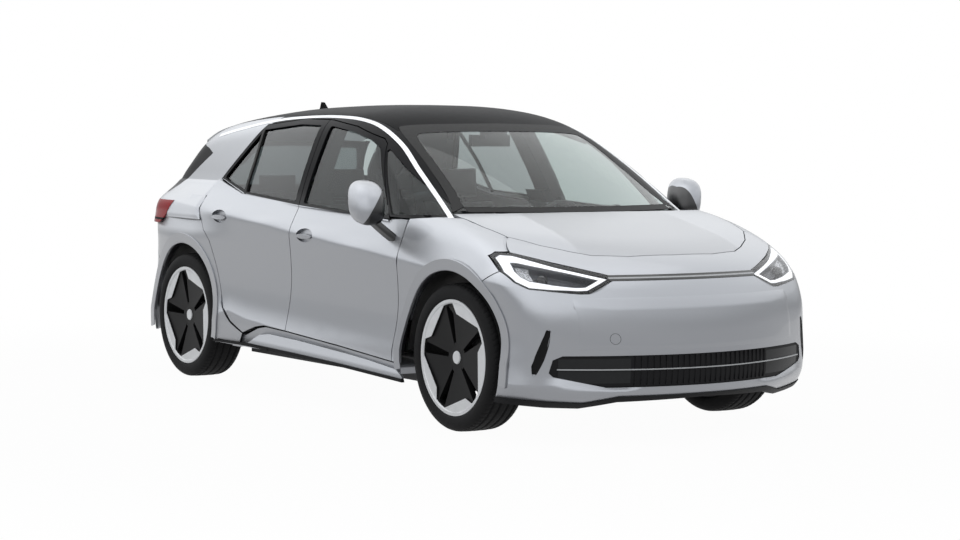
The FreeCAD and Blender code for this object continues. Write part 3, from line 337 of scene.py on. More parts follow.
def onNose(y, z, depth=0.0):
    # the place on the nose straight ahead of each (y, z), sunk by depth along the surface's normal
    y, z = np.broadcast_arrays(np.asarray(y, float), np.asarray(z, float))
    start = np.stack([np.full(y.shape, 1.0), y, z], -1)
    found = reach(bodyDistance, start, np.array([1.0, 0, 0]))
    return found - outward(bodyDistance, found) * np.asarray(depth, float)[..., None]


def along(points, count):
    # points spread evenly along a smoothed line through its corners
    corners = np.array(points, float)
    run = np.concatenate(([0], np.cumsum(np.linalg.norm(np.diff(corners, axis=0), axis=1))))
    at = np.linspace(0, run[-1], count)
    return np.stack([smoothCurve(at, np.stack([run, corners[:, k]], 1)) for k in range(corners.shape[1])], -1)


def between(lower, upper, rows):
    # a grid of straight lines from the points of one edge to those of another
    share = np.linspace(0, 1, rows)[None, :, None]
    return lower[:, None] * (1 - share) + upper[:, None] * share


def softStep(v):
    v = np.clip(v, 0, 1)
    return v * v * (3 - 2 * v)

def gridFaces(rows, cols, closedRows=False, closedCols=False):
    i = np.arange(rows if closedRows else rows - 1)[:, None]
    j = np.arange(cols if closedCols else cols - 1)[None, :]
    i2, j2 = (i + 1) % rows, (j + 1) % cols
    return np.stack([i * cols + j, i2 * cols + j, i2 * cols + j2, i * cols + j2], -1).reshape(-1, 4)


def sheet(points, closedRows=False, closedCols=False):
    rows, cols = points.shape[:2]
    return points.reshape(-1, 3), gridFaces(rows, cols, closedRows, closedCols)


def slab(outer, inner):
    # two grids of one size joined along their four edges into a closed solid
    rows, cols = outer.shape[:2]
    face = gridFaces(rows, cols)
    n = rows * cols
    index = np.arange(n).reshape(rows, cols)
    edge = np.concatenate([index[0, :-1], index[:-1, -1], index[-1, :0:-1], index[:0:-1, 0]])
    following = np.roll(edge, -1)
    wall = np.stack([edge, following, following + n, edge + n], -1)
    return np.concatenate([outer.reshape(-1, 3), inner.reshape(-1, 3)]), np.concatenate([face, face[:, ::-1] + n, wall])


def tube(rings):
    # rings of points along a path, closed round and capped at both ends by a fan to the ring's middle
    rows, cols = rings.shape[:2]
    ends = np.stack([np.repeat(rings[k].mean(0)[None], cols, 0) for k in (0, -1)])
    return sheet(np.concatenate([ends[:1], rings, ends[1:]]), closedCols=True)


def sweep(path, across, up, section):
    # carries a section of (sideways, upward) points along a path; across and up give its frame at each point
    path, across, up = (np.asarray(a, float) for a in (path, across, up))
    side, rise = np.array(section, float).T
    across = np.broadcast_to(across, path.shape)
    up = np.broadcast_to(up, path.shape)
    return path[:, None] + across[:, None] * side[None, :, None] + up[:, None] * rise[None, :, None]


def roundedBar(width, height, corner=0.5, count=16):
    # a superellipse section, squarer as corner falls
    a = np.linspace(0, 2 * math.pi, count, endpoint=False)
    shape = [np.sign(f) * np.abs(f) ** corner for f in (np.cos(a), np.sin(a))]
    return np.stack([shape[0] * width / 2, shape[1] * height / 2], -1)


def flipped(part):
    # the same piece on the other side of the car
    points, faces = part
    return points * np.array([1, -1, 1]), faces[:, ::-1]


def bothSides(*parts):
    return [*parts, *(flipped(part) for part in parts)]


def makePiece(name, parts, material, body, sharp=35, attributes=None):
    mesh = bpy.data.meshes.new(name)
    points, faces, start = [], [], 0
    for part in parts:
        points.append(part[0])
        faces.append(part[1] + start)
        start += len(part[0])
    points = np.concatenate(points)
    mesh.from_pydata(points.tolist(), [], np.concatenate(faces).tolist())
    for key, values in (attributes or {}).items():
        layer = mesh.attributes.new(key, "FLOAT", "POINT")
        layer.data.foreach_set("value", np.asarray(values, np.float32).ravel())
    grid = bmesh.new()
    grid.from_mesh(mesh)
    bmesh.ops.remove_doubles(grid, verts=grid.verts, dist=2e-6)
    bmesh.ops.dissolve_degenerate(grid, edges=grid.edges, dist=1e-6)
    bmesh.ops.recalc_face_normals(grid, faces=grid.faces)
    grid.to_mesh(mesh)
    grid.free()
    mesh.shade_smooth()
    mesh.set_sharp_from_angle(angle=math.radians(sharp))
    mesh.materials.append(material)
    piece = bpy.data.objects.new(name, mesh)
    bpy.context.scene.collection.objects.link(piece)
    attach(piece, body)
    return piece


def groupSocket(group, name, kind, value=None, out=False):
    made = group.interface.new_socket(name, in_out="OUTPUT" if out else "INPUT", socket_type="NodeSocket" + kind)
    if value is not None:
        made.default_value = value


def variationGroup():
    # fine mottling of a colour and its roughness, on the piece's own coordinates
    group = bpy.data.node_groups.new("fineVariation", "ShaderNodeTree")
    groupSocket(group, "Color", "Color")
    for name, value in (("Roughness", .4), ("Scale", 40), ("Color Amount", .06), ("Roughness Amount", .1)):
        groupSocket(group, name, "Float", value)
    groupSocket(group, "Color", "Color", out=True)
    groupSocket(group, "Roughness", "Float", out=True)
    first = node(group, "NodeGroupInput", (-900, 0))
    last = node(group, "NodeGroupOutput", (600, 0))
    place = node(group, "ShaderNodeTexCoord", (-900, -300))
    noise = node(group, "ShaderNodeTexNoise", (-700, -200))
    noise.inputs["Detail"].default_value = 3
    centred = node(group, "ShaderNodeMath", (-500, -200), operation="SUBTRACT")
    centred.inputs[1].default_value = 0.5
    shade = node(group, "ShaderNodeMath", (-300, 0), operation="MULTIPLY_ADD")
    shade.inputs[2].default_value = 1.0
    tinted = node(group, "ShaderNodeVectorMath", (0, 100), operation="SCALE")
    rough = node(group, "ShaderNodeMath", (0, -200), operation="MULTIPLY_ADD")
    for a, b in ((place.outputs["Object"], noise.inputs["Vector"]), (first.outputs["Scale"], noise.inputs["Scale"]),
                 (noise.outputs["Fac"], centred.inputs[0]), (centred.outputs[0], shade.inputs[0]),
                 (first.outputs["Color Amount"], shade.inputs[1]), (first.outputs["Color"], tinted.inputs[0]),
                 (shade.outputs[0], tinted.inputs["Scale"]), (centred.outputs[0], rough.inputs[0]),
                 (first.outputs["Roughness Amount"], rough.inputs[1]), (first.outputs["Roughness"], rough.inputs[2]),
                 (tinted.outputs[0], last.inputs["Color"]), (rough.outputs[0], last.inputs["Roughness"])):
        group.links.new(a, b)
    return group


def grainGroup():
    # a small relief from noise, for moulded plastic, rubber and cloth
    group = bpy.data.node_groups.new("surfaceGrain", "ShaderNodeTree")
    groupSocket(group, "Scale", "Float", 300)
    groupSocket(group, "Depth", "Float", .0003)
    groupSocket(group, "Normal", "Vector", out=True)
    first = node(group, "NodeGroupInput", (-700, 0))
    last = node(group, "NodeGroupOutput", (200, 0))
    place = node(group, "ShaderNodeTexCoord", (-700, -200))
    noise = node(group, "ShaderNodeTexNoise", (-500, -100))
    bump = node(group, "ShaderNodeBump", (-200, 0))
    for a, b in ((place.outputs["Object"], noise.inputs["Vector"]), (first.outputs["Scale"], noise.inputs["Scale"]),
                 (noise.outputs["Fac"], bump.inputs["Height"]), (first.outputs["Depth"], bump.inputs["Distance"]),
                 (bump.outputs[0], last.inputs["Normal"])):
        group.links.new(a, b)
    return group


fineVariation, surfaceGrain = variationGroup(), grainGroup()

# colour, metallic, roughness, coat, mottling's scale, its share of colour and of roughness, grain's scale and depth
finishes = {
    "silver": ((.308, .318, .340), .62, .33, .45, 900, .10, .05, 0, 0),
    # painted shade: a darker copy of the silver, for the sill's top, which turns in under the doors' feet and lies in
    # their shade
    "paintedShadeSilver": ((0.0837, 0.0849, 0.0899), .62, .36, .3, 900, .10, .05, 0, 0),
    "pianoBlack": ((.010, .010, .011), 0, .10, .6, 30, .2, .03, 0, 0),
    "stripSilver": ((.62, .63, .65), .55, .30, .3, 200, .03, .03, 0, 0),
    "grilleBlack": ((.009, .009, .010), 0, .55, 0, 60, .2, .1, 0, 0),
    "bladeTrim": ((.42, .43, .44), .2, .35, .2, 60, .1, .05, 0, 0),
    "slotBlack": ((.004, .004, .004), 0, .60, 0, 60, .2, .1, 0, 0),
    "lampFloor": ((.060, .063, .072), .3, .30, .2, 40, .2, .1, 0, 0),
    "lampBand": ((.86, .87, .88), 0, .30, .2, 60, .03, .05, 0, 0),
    "lampCells": ((.85, .86, .88), 0, .25, .2, 60, .1, .05, 0, 0),
    "roofBlack": ((0.0055, 0.0055, 0.006), 0, .42, 0, 30, .2, .05, 0, 0),
    "pillarBlack": ((.006, .006, .007), 0, .30, 0, 30, .2, .05, 0, 0),
    "darkTrim": ((0.015, 0.015, 0.0158), 0, .52, 0, 60, .3, .1, 700, .0004),
    "greyTrim": ((.024, .025, .026), 0, .30, 0, 60, .2, .1, 500, .0003),
    "cabinPlastic": ((.028, .029, .031), 0, .60, 0, 40, .2, .1, 600, .0005),
    "seatCloth": ((.040, .042, .046), 0, .92, 0, 260, .35, .05, 900, .0009),
    "underside": ((.030, .030, .032), 0, .65, 0, 12, .4, .2, 120, .0006),
    "castMetal": ((.20, .20, .205), .75, .48, 0, 25, .3, .2, 160, .0006),
    "rubber": ((.011, .011, .0115), 0, .72, 0, 35, .25, .14, 420, .0003),
    "bladeGrey": ((.007, .007, .0075), 0, .42, 0, 25, .15, .08, 0, 0),
    "rimWhite": ((.78, .79, .80), .10, .40, .2, 6, .01, .02, 0, 0),
    "lampRed": ((.33, .006, .010), 0, .16, 0, 30, .2, .03, 0, 0),
    "mirrorGlass": ((.80, .82, .84), 1.0, .03, 0, 8, .03, .01, 0, 0),
}
channels = ("Base Color", "Metallic", "Roughness", "Coat Weight")
paintSheen = {"coatRoughness": .05, "perMetal": .72, "onBlack": .05}


class Places:
    # the piece's own coordinates as sockets: x, y, z, and the distance from the car's middle plane
    def __init__(self, tree):
        self.tree = tree
        coordinate = node(tree, "ShaderNodeTexCoord", (-1600, 0))
        parts = node(tree, "ShaderNodeSeparateXYZ", (-1400, 0))
        link(tree, coordinate.outputs["Object"], parts.inputs[0])
        self.x, self.y, self.z = parts.outputs
        self.side = math2(tree, "ABSOLUTE", self.y, None)     # distance from the car's middle plane

    def line(self, run, points):
        # height of a line through points, read off along run
        (x0, _), (x1, _) = points[0], points[-1]
        low = min(v for _, v in points)
        span = max(v for _, v in points) - low or 1.0
        share = math2(self.tree, "DIVIDE", math2(self.tree, "SUBTRACT", run, x0), x1 - x0)
        ramp = node(self.tree, "ShaderNodeValToRGB")
        stops = ramp.color_ramp.elements
        for x, v in points[1:-1]:
            stops.new((x - x0) / (x1 - x0)).color = ((v - low) / span,) * 3 + (1,)
        stops[0].color, stops[-1].color = (((v - low) / span,) * 3 + (1,) for v in (points[0][1], points[-1][1]))
        link(self.tree, share, ramp.inputs[0])
        return math2(self.tree, "ADD", math2(self.tree, "MULTIPLY", ramp.outputs[0], span), low)

    def above(self, value, level, soft=.0006):
        edge = node(self.tree, "ShaderNodeMapRange")
        link(self.tree, math2(self.tree, "SUBTRACT", value, level), edge.inputs["Value"])
        edge.inputs["From Min"].default_value, edge.inputs["From Max"].default_value = -soft, soft
        return edge.outputs[0]

    def times(self, *values):
        return folded(self.tree, "MULTIPLY", *values)

    both = times     # where several masks meet

    def plus(self, *values):
        return folded(self.tree, "ADD", *values)

    def less(self, a):
        return math2(self.tree, "SUBTRACT", 1.0, a)

    def below(self, value, level, soft=.0006):
        return self.less(self.above(value, level, soft))

    def band(self, value, low, high):
        # between two levels, each given with half the width of its soft edge
        return self.both(self.above(value, *low), self.below(value, *high))

    def turnRadius(self, centre):
        # distance from a lateral axle
        dx, dz = math2(self.tree, "SUBTRACT", self.x, centre.x), math2(self.tree, "SUBTRACT", self.z, centre.z)
        return math2(self.tree, "SQRT", self.plus(self.times(dx, dx), self.times(dz, dz)), None)

    def attribute(self, name):
        return node(self.tree, "ShaderNodeAttribute", (-1400, -300), attribute_name=name).outputs["Fac"]


def laidOver(tree, start, channel, laid):
    # one channel's value with those of other finishes mixed over it by their masks; a plain number if none differs
    color, source = channel == "Base Color", None
    for mask, other in laid:
        top = dict(zip(channels, ((*finishes[other][0], 1), *finishes[other][1:4])))[channel]
        if source is None and top == start:
            continue
        mix = node(tree, "ShaderNodeMix", data_type="RGBA" if color else "FLOAT")
        under, over, out = (mix.inputs[6], mix.inputs[7], mix.outputs[2]) if color else \
            (mix.inputs[2], mix.inputs[3], mix.outputs[0])
        link(tree, mask, mix.inputs[0])
        if source is None:
            under.default_value = start
        else:
            link(tree, source, under)
        over.default_value = top
        source = out
    return source


def leanSurface(tree, shader, lean, axis):
    # the pressed form: the surface's normal leans along one axis by the lean, and is made a unit again
    toward = node(tree, "ShaderNodeCombineXYZ", (-500, -300))
    link(tree, lean, toward.inputs[axis])
    turned = node(tree, "ShaderNodeVectorMath", (-300, -300), operation="ADD")
    link(tree, node(tree, "ShaderNodeNewGeometry", (-700, -300)).outputs["Normal"], turned.inputs[0])
    link(tree, toward.outputs["Vector"], turned.inputs[1])
    even = node(tree, "ShaderNodeVectorMath", (-150, -300), operation="NORMALIZE")
    link(tree, turned.outputs[0], even.inputs[0])
    link(tree, even.outputs[0], shader.inputs["Normal"])


def principled(name):
    material = bpy.data.materials.new(name)
    material.use_nodes = True
    tree = material.node_tree
    variation = node(tree, "ShaderNodeGroup", (-300, 200))
    variation.node_tree = fineVariation
    shader = tree.nodes["Principled BSDF"]
    link(tree, variation.outputs["Color"], shader.inputs["Base Color"])
    return material, tree, shader, variation


def finish(name, base, layers=None, extra=None, pressed=None, axis="Z"):
    # a material in one finish; layers(places) gives pairs of a mask and the finish laid over it there
    material, tree, shader, variation = principled(name)
    color, metallic, rough, coat, scale, colorAmount, roughAmount, grainScale, depth = finishes[base]
    for key, value in (("Scale", scale), ("Color Amount", colorAmount), ("Roughness Amount", roughAmount)):
        variation.inputs[key].default_value = value
    link(tree, variation.outputs["Roughness"], shader.inputs["Roughness"])
    targets = (variation.inputs["Color"], shader.inputs["Metallic"], variation.inputs["Roughness"],
               shader.inputs["Coat Weight"])
    laid = layers(Places(tree)) if layers else []
    mixes = {}
    for channel, start, target in zip(channels, ((*color, 1), metallic, rough, coat), targets):
        mixes[channel] = laidOver(tree, start, channel, laid)
        if mixes[channel] is None:
            target.default_value = start
        else:
            link(tree, mixes[channel], target)
    shader.inputs["Coat Roughness"].default_value = paintSheen["coatRoughness"]
    if grainScale:
        relief = node(tree, "ShaderNodeGroup", (-300, -200))
        relief.node_tree = surfaceGrain
        relief.inputs["Scale"].default_value, relief.inputs["Depth"].default_value = grainScale, depth
        link(tree, relief.outputs[0], shader.inputs["Normal"])
    if layers and metallic > .5:
        # only the metallic paint keeps its full sheen, the black laid over it is dull
        sheen = math2(tree, "MULTIPLY", mixes["Metallic"], paintSheen["perMetal"])
        link(tree, math2(tree, "ADD", sheen, paintSheen["onBlack"]), shader.inputs["Specular IOR Level"])
    if pressed:
        leanSurface(tree, shader, pressed(Places(tree)), axis)
    for key, value in (extra or {}).items():
        shader.inputs[key].default_value = value
    return material


def glass(name, tint, ior):
    material, tree, shader, variation = principled(name)
    variation.inputs["Color"].default_value = (*tint, 1)
    for key, value in (("Roughness", 0.0), ("Scale", 3), ("Color Amount", .04), ("Roughness Amount", 0)):
        variation.inputs[key].default_value = value
    for key, value in (("Roughness", 0.0), ("Transmission Weight", 1.0), ("IOR", ior)):
        shader.inputs[key].default_value = value
    return material


def shifted(points):
    return [(x + midX, *rest) for x, *rest in points]


# where one finish ends and another begins on the car's sides and ends: (x or y, z) from the middle of the wheelbase
sideLines = {
    "belt": shifted([(-1.30, 1.160), (-1.078, 1.134), (-.745, 1.060), (-.098, 1.018), (.452, .992), (.80, .977),
                     (1.168, 1.003), (1.40, 1.010)]),
    "trimEdge": [(.20, .845), (.36, .885), (.60, .862), (.87, .885), (1.0, .830), (1.1, .795), (1.2, .70)],
    "pillarLine": [(z, midX - x) for z, x in ((.90, 1.27), (1.134, 1.080), (1.41, .851), (1.436, .820), (1.60, .60))],
    "finLine": [(z, midX - x) for z, x in ((.90, 1.85), (1.070, 1.682), (1.133, 1.572), (1.196, 1.483),
                                          (1.272, 1.370), (1.300, 1.46), (1.327, 1.60), (1.60, 2.1))],
    "finFoot": 1.042,
    "sillDark": shifted([(-1.30, .256), (-.56, .262), (-.054, .252), (.39, .240), (1.01, .216), (1.2, .210)]),
    # above the sill's step its silver is painted darker, as the shade under the doors
    "sillStep": shifted([(-1.0, .300), (-.37, .340), (.30, .302), (.92, .272), (1.1, .268)]), "stepSoft": .002,
    "hatchGlass": (.950, 1.338),     # the tailgate is black between these heights
    "rimFace": .0935, "capRadius": .031, "capFrom": .06,
    "grilleEnds": (.405, .715, .280, .392),          # from and to sideways, from and to in height
    "tailLampRed": .884, "tailLampTop": .897,
    "barLine": (.7472, .7532),
    "mirrorCap": (.62, .35, 1.365), "mirrorCapFrom": (.662, .925),
}
# the paint's creases: how far each zone's normals lean up (or back on the bonnet), and where the zones lie;
# a pair gives a level and half the width of its soft edge
pressing = {
    "sideAbove": .36, "sideBelow": -.04, "creaseSoft": .010, "shoulderTop": (1.030, .06),
    "foot": .44, "footTop": (.050, .075), "heel": -.40, "footSoft": .010,
    "footLine": shifted([(-1.2, .36), (-.88, .40), (-.80, .415), (-.60, .385), (-.054, .346), (.39, .314), (.80, .284),
                         (1.1, .265)]),
    "quarter": .66, "quarterFrom": (-1.05, .30), "quarterLow": (.815, .035), "quarterHigh": (1.060, .07),
    "pillar": -.16, "pillarFrom": (1.12, .06),
    "sill": .45, "sillTop": -.55, "sillOver": .012, "sillSoft": .012,
    "bumperBelow": -.20, "bumperAbove": -.02, "noseFrom": (1.93, .10), "bumperFrom": (.300, .02),
    "fascia": [(0, .616), (.475, .615), (.725, .647), (.829, .687), (.95, .74)], "fasciaSoft": .008,
    "lip": 1.1, "lipHeight": ((.240, .012), (.318, .02)), "lipSide": ((.36, .06), (.74, .05)),
    "flare": -.38, "mirror": .50, "mirrorFrom": (1.045, .07),
    "bonnet": -.25, "bonnetLine": [(.9, .40), (1.5, .44), (1.85, .52), (2.1, .56)], "bonnetSoft": .03,
}


def pressedSides(p):
    # lean of the side: up above the shoulder crease, up again at the doors' feet, down where they turn under
    w = pressing
    height, slope = envelope["crease"]
    crease = p.plus(p.times(p.x, slope), height - slope * midX)
    shoulder = p.band(p.z, (crease, w["creaseSoft"]), w["shoulderTop"])
    quarter = p.both(p.below(p.x, *w["quarterFrom"]), p.band(p.z, w["quarterLow"], w["quarterHigh"]), p.less(shoulder))
    foot = p.line(p.x, w["footLine"])
    over, soft = w["footTop"]
    overFoot = p.band(p.z, (foot, w["footSoft"]), (p.plus(foot, over), soft))
    return p.plus(p.times(shoulder, w["sideAbove"] - w["sideBelow"]), w["sideBelow"],
                  p.times(overFoot, w["foot"]), p.times(quarter, w["quarter"]),
                  p.times(p.above(p.z, *w["pillarFrom"]), w["pillar"]),
                  p.times(p.below(p.z, foot, w["footSoft"]), w["heel"]))


def pressedFront(p):
    # lean of the nose: down below the fascia's crease, and up on the lip under the grille's ends
    w = pressing
    above = p.above(p.z, p.line(p.side, w["fascia"]), w["fasciaSoft"])
    face = p.plus(p.times(above, w["bumperAbove"] - w["bumperBelow"]), w["bumperBelow"])
    lip = p.both(p.band(p.z, *w["lipHeight"]), p.band(p.side, *w["lipSide"]))
    return p.plus(p.times(face, p.above(p.z, *w["bumperFrom"])), p.times(lip, w["lip"]))


def pressedBody(p):
    ahead = p.above(p.x, *pressing["noseFrom"])
    return p.plus(p.both(p.less(ahead), pressedSides(p)), p.both(ahead, pressedFront(p)))


def pressedFlare(p):
    # the lips of the wheel arches turn under a little all round
    return p.times(p.above(p.z, 0), pressing["flare"])


def pressedMirror(p):
    return p.times(p.above(p.z, *pressing["mirrorFrom"]), pressing["mirror"])


def pressedBonnet(p):
    # the bonnet's middle leans back a little between its shoulders
    inside = p.below(p.side, p.line(p.x, pressing["bonnetLine"]), pressing["bonnetSoft"])
    return p.times(inside, pressing["bonnet"])


def pressedSill(p):
    w = pressing
    lit = p.above(p.z, p.plus(p.line(p.x, sideLines["sillDark"]), w["sillOver"]), w["sillSoft"])
    step = p.above(p.z, p.line(p.x, sideLines["sillStep"]), sideLines["stepSoft"])
    return p.plus(p.times(lit, p.less(step), w["sill"]), p.times(step, w["sillTop"]))


def doorLayers(p):
    inner = p.below(p.side, p.line(p.z, sideLines["trimEdge"]))
    upper = p.above(p.z, p.line(p.x, sideLines["belt"]))
    return [(inner, "cabinPlastic"), (upper, "pillarBlack")]


def frameLayers(p):
    upper = p.above(p.z, p.line(p.x, sideLines["belt"]))
    ahead = p.above(p.x, p.line(p.z, sideLines["pillarLine"]))
    fin = p.both(p.above(p.z, sideLines["finFoot"]), p.below(p.x, p.line(p.z, sideLines["finLine"])))
    return [(p.both(upper, ahead), "pillarBlack"), (fin, "pillarBlack")]


def sillLayers(p):
    # above the step the sill's silver is painted darker as the shade it lies in under the doors; below the lower line
    # is the sill's black trim
    return [(p.above(p.z, p.line(p.x, sideLines["sillStep"]), sideLines["stepSoft"]), "paintedShadeSilver"),
            (p.below(p.z, p.line(p.x, sideLines["sillDark"])), "darkTrim")]


def mirrorLayers(p):
    # the cap is the outer, upper part of the housing; below a slanting line it is black
    rise, forward, level = sideLines["mirrorCap"]
    cap = p.above(p.plus(p.times(p.z, rise), p.side, p.times(p.x, -forward)), level)
    fromX, fromSide = sideLines["mirrorCapFrom"]
    return [(p.both(cap, p.above(p.x, fromX), p.above(p.side, fromSide)), "silver")]


def grilleLayers(p):
    near, far, low, high = sideLines["grilleEnds"]
    ends = p.both(p.above(p.side, near), p.below(p.side, far), p.above(p.z, low), p.below(p.z, high))
    return [(ends, "greyTrim")]


def hatchLayers(p):
    low, high = sideLines["hatchGlass"]
    return [(p.both(p.above(p.z, low), p.below(p.z, high)), "pianoBlack")]


def rimLayers(centre):
    def layers(p):
        face = p.above(p.side, centre.y + sideLines["rimFace"])
        middle = p.below(p.turnRadius(centre), sideLines["capRadius"])
        cap = p.both(middle, p.above(p.side, centre.y + sideLines["capFrom"]))
        return [(math2(p.tree, "MAXIMUM", face, cap), "rimWhite")]
    return layers


def tailLampLayers(p):
    return [(p.below(p.z, sideLines["tailLampTop"]), "slotBlack"), (p.below(p.z, sideLines["tailLampRed"]), "lampRed")]


def barLayers(p):
    low, high = sideLines["barLine"]
    return [(p.both(p.above(p.z, low), p.below(p.z, high)), "bladeTrim")]


lampLook = {"cellScale": 150, "cellEdge": (.40, .10), "cellShare": .8, "bandGlow": .55, "maskEdge": (.5, .3),
            "bandEdge": (.5, .2)}


def lampLayers(p):
    cells = node(p.tree, "ShaderNodeTexVoronoi", (-1100, -500))
    cells.inputs["Scale"].default_value = lampLook["cellScale"]
    link(p.tree, node(p.tree, "ShaderNodeTexCoord", (-1300, -500)).outputs["Object"], cells.inputs["Vector"])
    dots, edge = p.below(cells.outputs["Distance"], *lampLook["cellEdge"]), lampLook["maskEdge"]
    reflector = p.both(p.above(p.attribute("cells"), *edge), p.less(p.times(dots, lampLook["cellShare"])))
    return [(reflector, "lampCells"), (p.above(p.attribute("rim"), *edge), "slotBlack"),
            (p.above(p.attribute("band"), *lampLook["bandEdge"]), "lampBand")]


def lightBand(material):
    # a faint light of its own, so that the band stays white under its cover
    tree = material.node_tree
    p = Places(tree)
    shader = tree.nodes["Principled BSDF"]
    shader.inputs["Emission Color"].default_value = (1, 1, 1, 1)
    glow = p.times(p.above(p.attribute("band"), *lampLook["maskEdge"]), lampLook["bandGlow"])
    link(tree, glow, shader.inputs["Emission Strength"])


def shine(level):
    return {"Specular IOR Level": level}


dull = shine(.12)
looks = {
    "bodyPaint": ("silver", {"pressed": pressedBody}),
    "doorPaint": ("silver", {"layers": doorLayers, "pressed": pressedSides}),
    "framePaint": ("silver", {"layers": frameLayers, "pressed": pressedSides}),
    "sillPaint": ("silver", {"layers": sillLayers, "pressed": pressedSill}),
    "flarePaint": ("silver", {"pressed": pressedFlare}),
    "bonnetPaint": ("silver", {"pressed": pressedBonnet, "axis": "X"}),
    "hatchPaint": ("silver", {"layers": hatchLayers}),
    "slotBlack": ("slotBlack", {"extra": dull}),
    "finBlack": ("grilleBlack", {"extra": dull}),
    "bladeTrim": ("bladeTrim", {}),
    "lampHousing": ("lampFloor", {"layers": lampLayers}),
    "lampLens": ("pianoBlack", {}),
    "lampBar": ("pianoBlack", {"layers": barLayers, "extra": dull}),
    "roofBlack": ("roofBlack", {"extra": shine(.02)}),
    "mirrorShell": ("pillarBlack", {"layers": mirrorLayers, "pressed": pressedMirror}),
    "stripSilver": ("stripSilver", {}),
    "grilleBlack": ("grilleBlack", {"layers": grilleLayers, "extra": dull}),
    "blackTrim": ("darkTrim", {}),
    "cabinTrim": ("cabinPlastic", {}),
    "seatCloth": ("seatCloth", {"extra": {"Sheen Weight": .3}}),
    "underbody": ("underside", {}),
    "castMetal": ("castMetal", {}),
    "tyreRubber": ("rubber", {"extra": dull}),
    "frontRim": ("bladeGrey", {"layers": rimLayers(frontWheel), "extra": dull}),
    "rearRim": ("bladeGrey", {"layers": rimLayers(rearWheel), "extra": dull}),
    "tailLamp": ("lampRed", {"layers": tailLampLayers, "extra": shine(.08)}),
    "mirrorGlass": ("mirrorGlass", {}),
    "screenBorder": ("slotBlack", {"extra": shine(.2)}),
    "seatTrim": ("cabinPlastic", {}),
}
panes = {     # tint and refraction
    "screenGlass": ((.90, .95, .93), 1.22), "sideGlass": ((.34, .40, .395), 1.22),
    "darkGlass": ((.24, .27, .275), 1.28), "lampCover": ((.97, .98, 1.0), 1.2),
}
materials = {name: finish(name, base, **how) for name, (base, how) in looks.items()}
materials.update({name: glass(name, *pane) for name, pane in panes.items()})
lightBand(materials["lampHousing"])
worn = {     # a finish and how the names of the nodes in it begin
    "bodyPaint": ("front_fenders", "front_bumper", "rear_bumper"), "bonnetPaint": ("bonnet",),
    "doorPaint": ("front_door", "rear_door"), "framePaint": ("side_frames",), "sillPaint": ("sill_trims",),
    "hatchPaint": ("tailgate",), "roofBlack": ("roof_panel",), "mirrorShell": ("mirror",),
    "grilleBlack": ("lower_grille",), "blackTrim": ("arch_liners", "wipers", "interior_mirror", "headlamps"),
    "cabinTrim": ("dashboard", "steering_wheel"), "seatCloth": ("front_seats", "rear_seat"),
    "underbody": ("floor_pan", "battery_pack", "drive_unit"), "castMetal": ("front_axle", "rear_axle", "knuckle"),
    "tyreRubber": ("tyre",), "frontRim": ("rim_front",), "rearRim": ("rim_rear",), "tailLamp": ("tail_lamps",),
    "screenGlass": ("windscreen",), "sideGlass": ("front_window", "quarter_windows"), "darkGlass": ("rear_window",),
}
for finishName, beginnings in worn.items():
    for name, piece in nodes.items():
        if name.startswith(beginnings):
            piece.data.materials.clear()
            piece.data.materials.append(materials[finishName])
print("finishes made:", len(materials))


# tyres, revolved with grooves in the tread and ribs on the shoulders
tyreShape = {
    "half": [(.0915, -.092), (.0918, -.077), (.1035, -.070), (.1075, -.045), (.1062, -.033), (.1030, -.0225),
             (.0970, -.0125), (.0890, -.0060), (.0760, -.0022), (.0400, -.0005), (0, 0)],
    "inside": [(-.0915, -.092), (-.070, -.080), (-.080, -.030), (0, -.018), (.080, -.030), (.070, -.080)],
    "treadFoot": .016, "treadOver": .010,            # how far below the crown the tread begins, and over what height
    "grooves": (-.062, -.022, .022, .062), "grooveHalf": .0048, "grooveSoft": 1.6, "grooveDepth": .0065,
    "ribs": 76, "ribDepth": .0044, "ribLean": 1.3, "ribSteep": 4, "ribShare": 3.1, "ribFrom": .030, "ribOver": .06,
    "rings": ((.0009, .052, .0016), (.0007, .028, .0014)),       # height, place below the crown and half width
    "turns": 456, "across": 76,
}


def makeTyre(name, body, values):
    # revolves a line of (sideways, down from the crown): one half, its mirror image, and the hollow inside
    centre, radius = wheelOf(name)
    half = along(values["half"], values["across"] // 2 + 1)
    outside = np.concatenate([half, half[-2::-1] * np.array([-1, 1])])
    line = np.concatenate([outside, np.array(values["inside"])])
    y, drop = line[:, 0][None, :], line[:, 1][None, :]
    turn = np.linspace(0, 2 * math.pi, values["turns"], endpoint=False)[:, None]
    tread = np.clip((drop + values["treadFoot"]) / values["treadOver"], 0, 1) * (np.arange(len(line)) < len(outside))
    groove = sum(np.clip(values["grooveSoft"] - np.abs(y - at) / values["grooveHalf"], 0, 1)
                 for at in values["grooves"])
    # the lugs' edges lean across the tread, and are deepest on the shoulder
    wave = np.sin(values["ribs"] * (turn + values["ribLean"] * np.abs(y)))
    rib = np.clip(values["ribSteep"] * wave - values["ribShare"], 0, 1)
    rib = rib * np.clip((np.abs(y) - values["ribFrom"]) / values["ribOver"], 0, 1)
    r = radius + drop - tread * (values["grooveDepth"] * np.clip(groove, 0, 1) + values["ribDepth"] * rib)
    # fine rings stand on the side wall
    ring = sum(height * np.exp(-((drop + at) / width) ** 2) for height, at, width in values["rings"])
    points = np.stack(np.broadcast_arrays(centre.x + r * np.cos(turn), centre.y + y + np.sign(y) * ring,
                                          centre.z + r * np.sin(turn)), -1)
    piece = makePiece(name.replace("tyre", "treaded"), [sheet(points, True, True)], materials["tyreRubber"], body,
                      30)
    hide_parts(name)


for end in ("front", "rear"):
    for side in ("left", "right"):
        makeTyre("tyre_%s_%s" % (end, side), "%s_wheel_%s" % (end, side), tyreShape)
print("tyres made")


